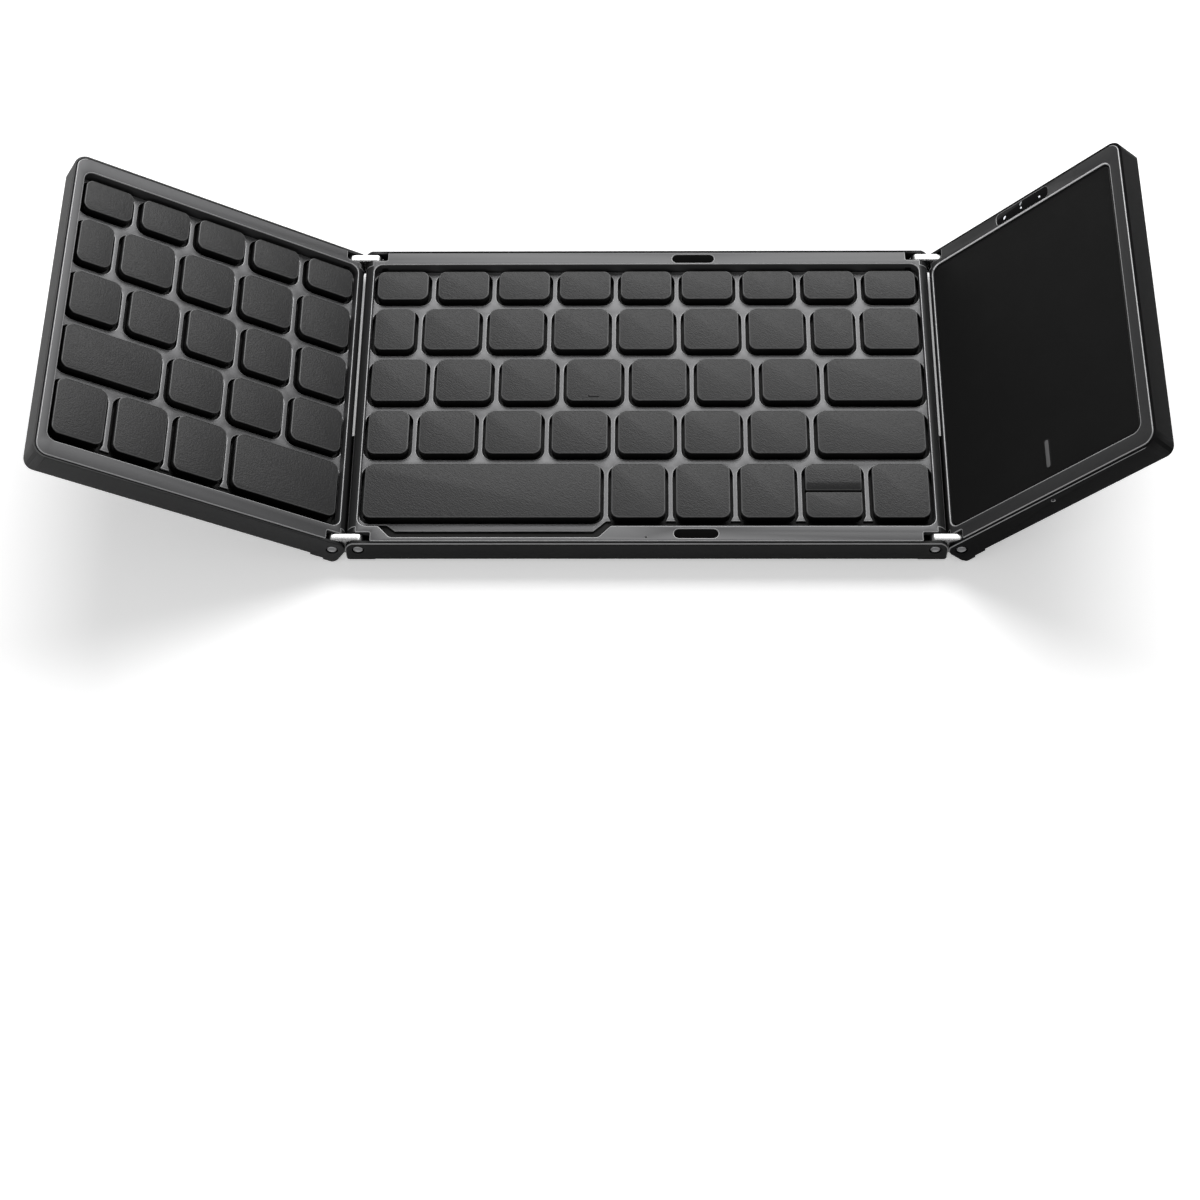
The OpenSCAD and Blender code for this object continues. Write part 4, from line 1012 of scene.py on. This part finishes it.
class KEYBOARD_OT_cases(bpy.types.Operator):
    """Bottom cases, base plates and screws"""
    bl_idname = "keyboard.cases"
    bl_label = "Cases"

    def execute(self, context):
        d = settings(context).details
        # painted highlight for the cases' rounded edges
        case_highlight = smooth_plastic("case_edge_highlight", d.case_edge_highlight, 0.28, 0.004)
        metal = anodised("base_plate_metal", d.plate)
        steel = bright_metal("screw_steel", (0.55, 0.55, 0.56), turned=True)
        for section, body in SECTIONS.items():
            pin = PIN_X if section == "center" else 0.0
            bm = soften(section + "_bottom_case", body, CASE_ROUNDING, EDGE_HIGHLIGHT,
                        lambda ends, normals: self.shows(ends, normals, pin))
            # painted highlight is kept off the whole left case and off the faces near the rear
            repaint(bm, PAINT, lambda slot, middle: section == "left"
                    or middle.y > DEPTH - REAR_EDGE)
            # a copy of the case plastic per section, with painted sheen and, on the right,
            # painted shade
            plastic = smooth_plastic(
                section + "_case_plastic", rgba(d.case, SHADED_CASE_TINTS[section])[:3], 0.5, 0.014,
                PAINTED_SHEENS[section])
            piece(section + "_case", bm, [plastic, case_highlight], body, section + "_bottom_case")
            dress(section + "_base_plate", metal)
            dress(section + "_screws", steel)
        return {"FINISHED"}

    @staticmethod
    def shows(ends, normals, pin):
        """Whether an edge lies on a case's front or rear face, or along a wing's upper edge, and
        is rounded with painted highlight; the holes of the pins' heads and the lower edges,
        except on the ears, are left alone."""
        if all(co.z < LOWER_EDGE and (abs(co.x) if pin else -co.x) <= pin for co in ends):
            return False
        if all(math.hypot(abs(co.x) - pin, co.z - PIN_H) < PIN_HOLE_R for co in ends):
            return False
        if all(co.y < TINY for co in ends) or all(co.y > DEPTH - TINY for co in ends):
            return any(abs(n.y) > 0.99 for n in normals)
        if all(co.z > WALL_TOP - TINY and co.x > SIDE_START for co in ends):
            middle = (ends[0] + ends[1]) / 2
            return any(abs(n.z) < 0.1 and n.x * (middle.x - WING_MIDDLE)
                       + n.y * (middle.y - DEPTH / 2) > 0 for n in normals)
        return False


FOOT_EDGE, PAD_EDGE = 0.4 * MM, 0.2 * MM  # rounding of a foot's and a pad's face


class KEYBOARD_OT_feet(bpy.types.Operator):
    """Rubber feet under the sections and the pads in the centre's rims"""
    bl_idname = "keyboard.feet"
    bl_label = "Feet and pads"

    def execute(self, context):
        soft = rubber("foot_rubber", settings(context).details.rubber)
        pills = [(section + "_foot_pads", section + "_feet", body, (FOOT_EDGE, 0.0))
                 for section, body in SECTIONS.items()]
        pills.append(("center_rim_pads", "center_bumper_pads", "center", (0.0, PAD_EDGE)))
        for name, node, body, edges in pills:
            bm = bmesh.new()
            for low, high in solids_of(node, body):
                radius = min(high.x - low.x, high.y - low.y) / 2 - TINY / 2
                add_slab(bm, low, high, radius, levels(low.z, high.z, *edges))
            piece(name, bm, soft, body, node)
        return {"FINISHED"}


SHAFT_R = 1.0 * MM
HEAD_H = 0.75 * MM
# face of a pin's head, from its rim inward: share of its radius and depth below the tip
HEAD_FACE = [(share, drop * MM) for share, drop in (
    (1, 0.25), (0.97, 0.1), (0.9, 0.02), (0.83, 0), (0.74, 0), (0.68, 0.03), (0.6, 0.09),
    (0.4, 0.12), (0.05, 0.13))]


class KEYBOARD_OT_hinges(bpy.types.Operator):
    """Bright links and the headed pins that join them to the sections"""
    bl_idname = "keyboard.hinges"
    bl_label = "Hinges"

    def execute(self, context):
        d = settings(context).details
        bright = bright_metal("link_metal", d.link, 0.28)
        steel = bright_metal("pin_steel", d.pin, 0.34, turned=True)
        stand = Matrix.Rotation(math.pi / 2, 4, "X")
        for side in SIDES:
            body = side + "_link"
            bm = bmesh.new()
            for low, high in solids_of(side + "_hinge_links", body):
                shape = rounded(low.x, low.z, high.x, high.z, LINK_CORNER, steps=12)
                link = bmesh.new()
                add_plate(link, shape, [], levels(-high.y, -low.y, LINK_EDGE, LINK_EDGE))
                bmesh.ops.transform(link, matrix=stand, verts=link.verts)
                join(bm, link)
            piece(side + "_links", bm, bright, body, side + "_hinge_links")
            bm = bmesh.new()
            for low, high in solids_of(side + "_hinge_pins", body):
                self.add_pin(bm, low, high)
            piece(side + "_pins", bm, steel, body, side + "_hinge_pins")
        return {"FINISHED"}

    @staticmethod
    def add_pin(bm, low, high):
        """Pin with a low head, slightly dished, on its outer end."""
        head = (high.x - low.x) / 2
        turn = 1 if low.y < DEPTH / 2 else -1
        tip, inner = (-low.y, -high.y) if turn > 0 else (high.y, low.y)
        middle = ((low.x + high.x) / 2, 0, (low.z + high.z) / 2)
        place = Matrix.Translation(middle) @ Matrix.Rotation(math.pi / 2 * turn, 4, "X")
        profile = [(SHAFT_R, inner), (SHAFT_R, tip - HEAD_H), (head, tip - HEAD_H)]
        profile += [(head * share, tip - drop) for share, drop in HEAD_FACE]
        add_lathe(bm, profile, place)


CABLE_T = 0.4 * MM
CABLE_STEP = 0.3 * MM  # a cable is divided this finely
CABLE_END = 0.3 * MM  # cable's end in a wing, past the pin
LUG_GAP = 0.2 * MM  # between a lug and the cable's bare part


class KEYBOARD_OT_cables(bpy.types.Operator):
    """Flex cables across the gaps"""
    bl_idname = "keyboard.cables"
    bl_label = "Flex cables"

    def execute(self, context):
        film = smooth_plastic("flex_film", grey(0.012), 0.3, 0.01)
        for side in SIDES:
            link, wing = side + "_link", side + "_wing"
            low, high = solids_of(side + "_flex_cable", link)[0]
            w = low.z + CABLE_T / 2
            start = Vector((low.x, 0, w))
            mouth = Vector((END_R + CABLE_T / 2, 0, w))
            to_link = PLACES[link].inverted() @ PLACES[wing]
            far_mouth = to_link @ Vector((-mouth.x, 0, w))
            end = to_link @ Vector((-CABLE_END, 0, w))
            middle = (mouth + far_mouth) / 2
            spans = {"inner": ([start, mouth, middle], ("center", link)),
                     "outer": ([middle, far_mouth, end], (link, wing))}
            for part, (line, bodies) in spans.items():
                buried, bare = (line[:2], line[1:]) if part == "inner" else (line[1:], line[:2])
                bm = self.strip(buried, low.y, high.y)
                join(bm, self.strip(bare, LUG_F1 + LUG_GAP, high.y))
                obj = piece(f"{side}_cable_{part}", bm, film, None,
                            place=PLACES[link])
                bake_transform(obj)
                if part == "inner":
                    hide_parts(side + "_flex_cable")
        return {"FINISHED"}

    @staticmethod
    def strip(line, v0, v1):
        """Flat strip along a line of points, divided finely."""
        points = []
        for a, b in zip(line, line[1:]):
            parts = max(2, round((b - a).length / CABLE_STEP))
            points += [a.lerp(b, k / parts) for k in range(parts)]
        points.append(line[-1])
        bm = bmesh.new()
        rows = []
        for i, p in enumerate(points):
            run = (points[min(i + 1, len(points) - 1)] - points[max(i - 1, 0)]).normalized()
            up = Vector((-run.z, 0, run.x)) * CABLE_T / 2
            rows.append([bm.verts.new((q.x, v, q.z)) for q, v in
                         ((p - up, v0), (p - up, v1), (p + up, v1), (p + up, v0))])
        for a, b in zip(rows, rows[1:]):
            bridge(bm, a, b, flip=True)
        bm.faces.new(rows[0])
        bm.faces.new(list(reversed(rows[-1])))
        bmesh.ops.recalc_face_normals(bm, faces=bm.faces)
        return bm


FILM_EDGE = 0.4 * MM
FILM_CORNER_IN = 0.3 * MM  # touchpad's corner radius, less than the well's
TICK_W, TICK_LEN, TICK_H = 2.0 * MM, 9.1 * MM, 0.15 * MM
TICK_U, TICK_V = 1.8 * MM, 2.9 * MM  # from the touchpad's middle and the front rim
# (slot, inset, rise) of the ring sunk round the tick and of the tick
TICK_PARTS = ((2, 0, 0.03 * MM), (1, 0.42 * MM, 0.07 * MM))


class KEYBOARD_OT_touchpad(bpy.types.Operator):
    """Touchpad with its tick mark"""
    bl_idname = "keyboard.touchpad"
    bl_label = "Touchpad"

    def execute(self, context):
        s = settings(context)
        finishes = [matt_film("touch_film", s.details.touchpad),
                    satin_paint("tick_paint", (0.14, 0.14, 0.142)),
                    smooth_plastic("tick_ring_and_edge_shade", grey(0.002), 0.5, specular=0.2)]
        low, high = solids_of("touchpad", "right_wing")[0]
        face = high.z - TICK_H
        bm = bmesh.new()
        # the touchpad's rounded edge takes the tick ring's black: painted shade of the gap round
        # the touchpad
        add_slab(bm, low, high, s.frames.well_radius - FILM_CORNER_IN,
                 levels(low.z, face, 0, FILM_EDGE), edge_slot=2)
        start = Vector(((low.x + high.x - TICK_W) / 2 + TICK_U, s.frames.front_rim + TICK_V))
        for slot, inset, rise in TICK_PARTS:
            shift = Vector((inset, inset))
            add_slab(bm, start + shift, start + Vector((TICK_W, TICK_LEN)) - shift,
                     0.96 * (TICK_W / 2 - inset),
                     levels(face - 0.1 * MM, face + rise, 0, 0.03 * MM), slot)
        piece("touch_surface", bm, finishes, "touchpad_plate", "touchpad",
              PLACES["right_wing"])
        return {"FINISHED"}


WINDOW_R, WINDOW_EDGE = 1.1 * MM, 0.08 * MM
MARK_W = 0.52 * MM  # width of the longer marks
MARK_DEPTH, MARK_RISE = 0.1 * MM, 0.02 * MM
# marks in the window: light guide, way behind it, length (in millimetres) and turn (degrees)
MARKS = ((0, 0.0, 1.1, 40), (1, 0.0, 0.55, 0), (1, 1.5, 1.2, 35), (2, 0.0, 0.6, 0))


class KEYBOARD_OT_window(bpy.types.Operator):
    """Glossy indicator window and its light guides"""
    bl_idname = "keyboard.window"
    bl_label = "Indicator window"

    def execute(self, context):
        low, high = solids_of("indicator_window", "right_wing")[0]
        lights = solids_of("indicator_lights", "right_wing")
        bm = bmesh.new()
        add_slab(bm, low, high, WINDOW_R, levels(low.z, high.z, 0, WINDOW_EDGE))
        gloss = speckled("window_gloss", grey(0.002), (0.006, 0.006, 0.007), (3.0,),
                         (0.06, 0.04), specular=0.12)
        piece("window_pane", bm, gloss, "right_wing", "indicator_window")
        bm = bmesh.new()
        for light, behind, span, turn in MARKS:
            middle = (lights[light][0] + lights[light][1]) / 2
            half = span / 2 * MM
            r = MARK_W / 2 if span > 1 else half
            corner = Vector((r, half))
            part = bmesh.new()
            add_slab(part, -corner, corner, 0.97 * r,
                     levels(high.z - MARK_DEPTH, high.z + MARK_RISE), 1 if behind else 0)
            bmesh.ops.transform(part, verts=part.verts, matrix=Matrix.Translation(
                (middle.x, middle.y + behind * MM, 0)) @ Matrix.Rotation(
                    math.radians(-turn), 4, "Z"))
            join(bm, part)
        tint = settings(context).details.light
        guides = [light_guide("light_guide", tint),
                  light_guide("light_guide_dim", rgba(tint, 0.3)[:3])]
        piece("window_lights", bm, guides, "right_wing", "indicator_lights")
        return {"FINISHED"}


class KEYBOARD_OT_ports(bpy.types.Operator):
    """Charging port, power switch and click switch"""
    bl_idname = "keyboard.ports"
    bl_label = "Port and switches"

    def execute(self, context):
        shell = bright_metal("port_shell", (0.6, 0.6, 0.62), 0.25)
        black = smooth_plastic("switch_plastic", (0.02, 0.02, 0.021), 0.45)
        dress("usb_port", shell)
        dress("click_switch", shell)
        dress("switch_housing", black)
        dress("power_switch_knob", black, 0.1 * MM)
        return {"FINISHED"}


class KEYBOARD_OT_insides(bpy.types.Operator):
    """Plates, membranes, boards and battery inside the sections"""
    bl_idname = "keyboard.insides"
    bl_label = "Insides"

    def execute(self, context):
        domes = speckled("dome_silicone", grey(0.003), grey(0.006), (0.3,), (0.6, 0.1))
        black = smooth_plastic("key_plate_coating", grey(0.006), 0.55)
        board = circuit_board("circuit_board")
        for section in ("center", "left"):
            dress(section + "_key_plate", black)
            dress(section + "_dome_membrane", domes)
        dress("main_board", board)
        dress("touchpad_board", board)
        dress("battery", speckled("battery_foil", (0.55, 0.56, 0.58), (0.75, 0.75, 0.77),
                                  (0.5, 4.0, 0.6), (0.3, 0.2), (0.12, 0.5), metallic=0.9))
        return {"FINISHED"}


SEEN_FLOOR = 2.29  # the floor's tint to the camera, in shares
GLOW, GLOW_SHARE = 0.72, 0.45  # paper's glow near the keyboard
FAR_START, FAR_END = 400.0, 900.0  # millimetres: the floor turns white here
FILL_LIGHT = 0.25
FLOOR_SIZE = 4.0
# name, place, size (metres) and power (watts) of the lamps, which point at the origin
LAMPS = (("rear_soft_box", (0.12, 0.78, 0.75), (1.0, 0.7), 12.0),
         ("front_strip", (-0.5, -0.9, 0.6), (1.7, 0.15), 4.0))


class KEYBOARD_OT_stage(bpy.types.Operator):
    """Pale floor, soft studio light and the camera"""
    bl_idname = "keyboard.stage"
    bl_label = "Stage"

    def execute(self, context):
        s = settings(context).stage
        self.floor(s.floor)
        self.world(context.scene)
        for lamp in LAMPS:
            self.lamp(*lamp)
        data = bpy.data.cameras.new("camera")
        data.sensor_width = 36.0
        data.lens = s.lens
        data.clip_start, data.clip_end = 0.01, 20.0
        camera = bpy.data.objects.new("camera", data)
        context.scene.collection.objects.link(camera)
        back = -Vector(s.camera_look).normalized()
        right = Vector(s.camera_up).cross(back).normalized()
        turn = Matrix((right, back.cross(right), back)).transposed().to_4x4()
        camera.matrix_world = Matrix.Translation(
            Vector((MIDDLE_X, FRONT_Y, UNDERSIDE_Z)) + Vector(s.camera_position)) @ turn
        context.scene.camera = camera
        context.scene.view_settings.view_transform = "Standard"
        return {"FINISHED"}

    @staticmethod
    def lamp(name, at, size, watts):
        data = bpy.data.lights.new(name, "AREA")
        data.shape = "RECTANGLE"
        data.size, data.size_y = size
        data.energy = watts
        obj = bpy.data.objects.new(name, data)
        obj.location = at
        obj.rotation_euler = (-Vector(at)).to_track_quat("-Z", "Y").to_euler()
        bpy.context.scene.collection.objects.link(obj)

    @staticmethod
    def floor(tint):
        """Paper that the camera sees a little brighter, and white far from the keyboard."""
        finish = Finish("floor_paper")
        seen = finish.node("ShaderNodeLightPath", out="Is Camera Ray")
        paper = finish.node("ShaderNodeBsdfDiffuse", None,
                            {"Color": finish.shade(tint, 1, SEEN_FLOOR, seen)})
        reach = finish.node("ShaderNodeVectorMath", {"operation": "LENGTH"},
                            {0: finish.millimetres()}, out="Value")
        far = reach.step(FAR_START, FAR_END)
        glow = finish.node("ShaderNodeEmission", None, {
            "Color": finish.shade(grey(1), GLOW, 1, far), "Strength": 1.0})
        mixed = finish.node("ShaderNodeMixShader", None, {
            0: seen * (GLOW_SHARE + far * (1 - GLOW_SHARE)), 1: paper, 2: glow})
        finish.node("ShaderNodeOutputMaterial", None, {"Surface": mixed})
        bm = bmesh.new()
        bmesh.ops.create_grid(bm, x_segments=1, y_segments=1, size=FLOOR_SIZE)
        piece("studio_floor", bm, finish.material, None, place=Matrix.Identity(4))

    @staticmethod
    def world(scene):
        """White where it is seen, and a weak fill light everywhere else."""
        finish = Finish("studio", world=True)
        seen = finish.node("ShaderNodeLightPath", out="Is Camera Ray")
        light = finish.node("ShaderNodeBackground", None, {
            "Color": finish.shade(grey(1), FILL_LIGHT, 1, seen), "Strength": 1.0})
        finish.node("ShaderNodeOutputWorld", None, {"Surface": light})
        scene.world = finish.material


# Panel and registration

OPERATORS = (
    KEYBOARD_OT_frames, KEYBOARD_OT_keys, KEYBOARD_OT_cases, KEYBOARD_OT_feet,
    KEYBOARD_OT_hinges, KEYBOARD_OT_cables, KEYBOARD_OT_touchpad, KEYBOARD_OT_window,
    KEYBOARD_OT_ports, KEYBOARD_OT_insides, KEYBOARD_OT_stage,
)


class KEYBOARD_PT_panel(bpy.types.Panel):
    """Lists the keyboard's pieces and their settings"""
    bl_idname = "KEYBOARD_PT_panel"
    bl_label = "Folding Keyboard"
    bl_space_type = "VIEW_3D"
    bl_region_type = "UI"
    bl_category = "Keyboard"

    def draw(self, context):
        for operator in OPERATORS:
            self.layout.operator(operator.bl_idname)
        for title in ("frames", "keys", "details", "stage"):
            box = self.layout.box()
            box.label(text=title.title())
            owner = getattr(settings(context), title)
            for name in owner.__annotations__:
                box.prop(owner, name)


CLASSES = (KEYBOARD_PG_frames, KEYBOARD_PG_keys, KEYBOARD_PG_details, KEYBOARD_PG_stage,
           KEYBOARD_PG_settings) + OPERATORS + (KEYBOARD_PT_panel,)


def register():
    for cls in CLASSES:
        bpy.utils.register_class(cls)
    bpy.types.Scene.folding_keyboard = group(
        KEYBOARD_PG_settings, "Folding keyboard", "Sizes and colours")


def unregister():
    del bpy.types.Scene.folding_keyboard
    for cls in reversed(CLASSES):
        bpy.utils.unregister_class(cls)


def main():
    register()
    bpy.ops.keyboard.frames()
    bpy.ops.keyboard.keys()
    bpy.ops.keyboard.cases()
    bpy.ops.keyboard.feet()
    bpy.ops.keyboard.hinges()
    bpy.ops.keyboard.cables()
    bpy.ops.keyboard.touchpad()
    bpy.ops.keyboard.window()
    bpy.ops.keyboard.ports()
    bpy.ops.keyboard.insides()
    bpy.ops.keyboard.stage()


if __name__ == "__main__":
    main()
